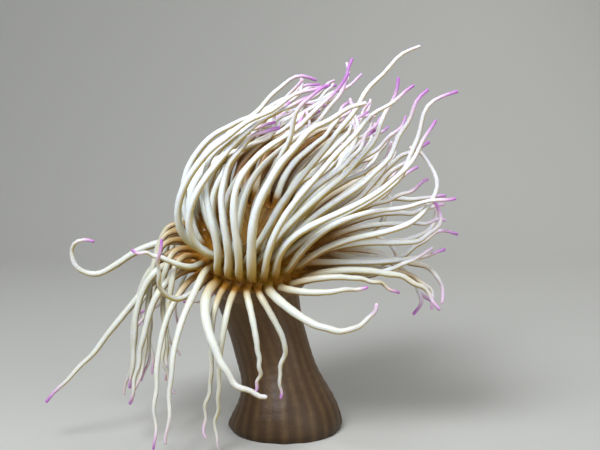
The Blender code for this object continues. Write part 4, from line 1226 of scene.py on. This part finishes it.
# %% [markdown]
# ## Floor, light and camera
# The model stands on a plain sheet of paper that curves up behind it, as in a studio, because
# an edge between floor and wall would draw the eye.  The light in a tank comes from above, so
# a soft light hangs high in front of the model, with a weaker one at the right and one behind
# to open the shadows.  The camera looks along +Y from a little above.

# %% Floor
FLOOR_HALF_WIDTH, FLOOR_FRONT = 1.6, -1.2
SWEEP_START, SWEEP_RADIUS, SWEEP_TOP = 0.55, 0.45, 1.6
FLOOR_GREY = "#AAA8A2"


def studio_sheet():
    """Flat floor, a quarter circle behind it, and a wall: a profile swept along X."""
    turns = np.linspace(0, pi / 2, 24)
    y = np.concatenate([[FLOOR_FRONT], SWEEP_START + SWEEP_RADIUS * np.sin(turns),
                        [SWEEP_START + SWEEP_RADIUS]])
    z = np.concatenate([[0.0], SWEEP_RADIUS * (1 - np.cos(turns)), [SWEEP_TOP]])
    rows = np.stack([np.zeros_like(y), y, z], -1)
    points = np.concatenate([rows - (FLOOR_HALF_WIDTH, 0, 0), rows + (FLOOR_HALF_WIDTH, 0, 0)])
    step = np.arange(len(rows) - 1)
    faces = np.stack([step, step + len(rows), step + len(rows) + 1, step + 1], -1)
    sheet = bpy.data.meshes.new("studio_sheet")
    sheet.from_pydata(points.tolist(), [], faces.tolist())
    sheet.polygons.foreach_set("use_smooth", np.ones(len(faces), bool))
    return sheet


floor = bpy.data.objects.new("studio_sheet", studio_sheet())
bpy.context.collection.objects.link(floor)
paper, paper_tree = new_finish("matt_background_paper")
# Uncoated paper, which scatters light evenly and shows no reflection.
paper_shader = add(paper_tree, "ShaderNodeBsdfPrincipled",
                   {"Base Color": linear(FLOOR_GREY), "Roughness": 0.9})
add(paper_tree, "ShaderNodeOutputMaterial", {"Surface": paper_shader})
floor.data.materials.append(paper)
print("floor grey:", FLOOR_GREY)

# %% Lights
MIDDLE = np.array((0.0, 0.0, 0.12))     # of the model, where all the lights point
SOFTBOXES = (                           # name, place, size, watts and colour
    ("top_light", (-0.30, -0.55, 0.85), 0.40, 14.2, "#F2F8FF"),
    ("side_fill", (0.75, -0.70, 0.50), 0.8, 5.2, "#F6FBFF"),
    ("back_light", (0.42, 0.70, 0.78), 0.6, 3.8, "#FAFDFF"),
)
AIR_COLOUR, AIR_STRENGTH = "#E6E9EC", 0.235

for name, place, size, watts, colour in SOFTBOXES:
    lamp = bpy.data.lights.new(name, "AREA")
    lamp.size, lamp.energy, lamp.color = size, watts, linear(colour)[:3]
    softbox = bpy.data.objects.new(name, lamp)
    bpy.context.collection.objects.link(softbox)
    # Tipped up from straight down, then turned about Z, until its -Z axis points at the middle.
    x, y, z = unit(MIDDLE - np.array(place))
    softbox.location = place
    softbox.rotation_euler = (np.arccos(-z), 0, np.arctan2(y, x) - pi / 2)

world = bpy.data.worlds.new("studio_air")
world.use_nodes = True
air = world.node_tree.nodes["Background"]
air.inputs["Color"].default_value = linear(AIR_COLOUR)
air.inputs["Strength"].default_value = AIR_STRENGTH
bpy.context.scene.world = world
bpy.context.scene.view_settings.view_transform = "Standard"
print("lights:", [lamp.name for lamp in bpy.data.lights])

# %% Camera
DISTANCE = 0.600                # from the camera to its aim
LOOK_DOWN = radians(8)
AIM = np.array((8.4, 0.0, 116.5)) * MM
SENSOR_WIDTH = 36.0
VIEW_WIDTH = 336.0 * MM         # of the plane that the camera sees at its aim

travel = np.array((0.0, cos(LOOK_DOWN), -sin(LOOK_DOWN)))
lens = bpy.data.cameras.new("camera")
lens.sensor_width = SENSOR_WIDTH
lens.lens = SENSOR_WIDTH * DISTANCE / VIEW_WIDTH
camera = bpy.data.objects.new("camera", lens)
bpy.context.collection.objects.link(camera)
camera.location = AIM - DISTANCE * travel
camera.rotation_euler = (pi / 2 - LOOK_DOWN, 0, 0)
bpy.context.scene.camera = camera
print("lens, mm:", round(lens.lens, 1))
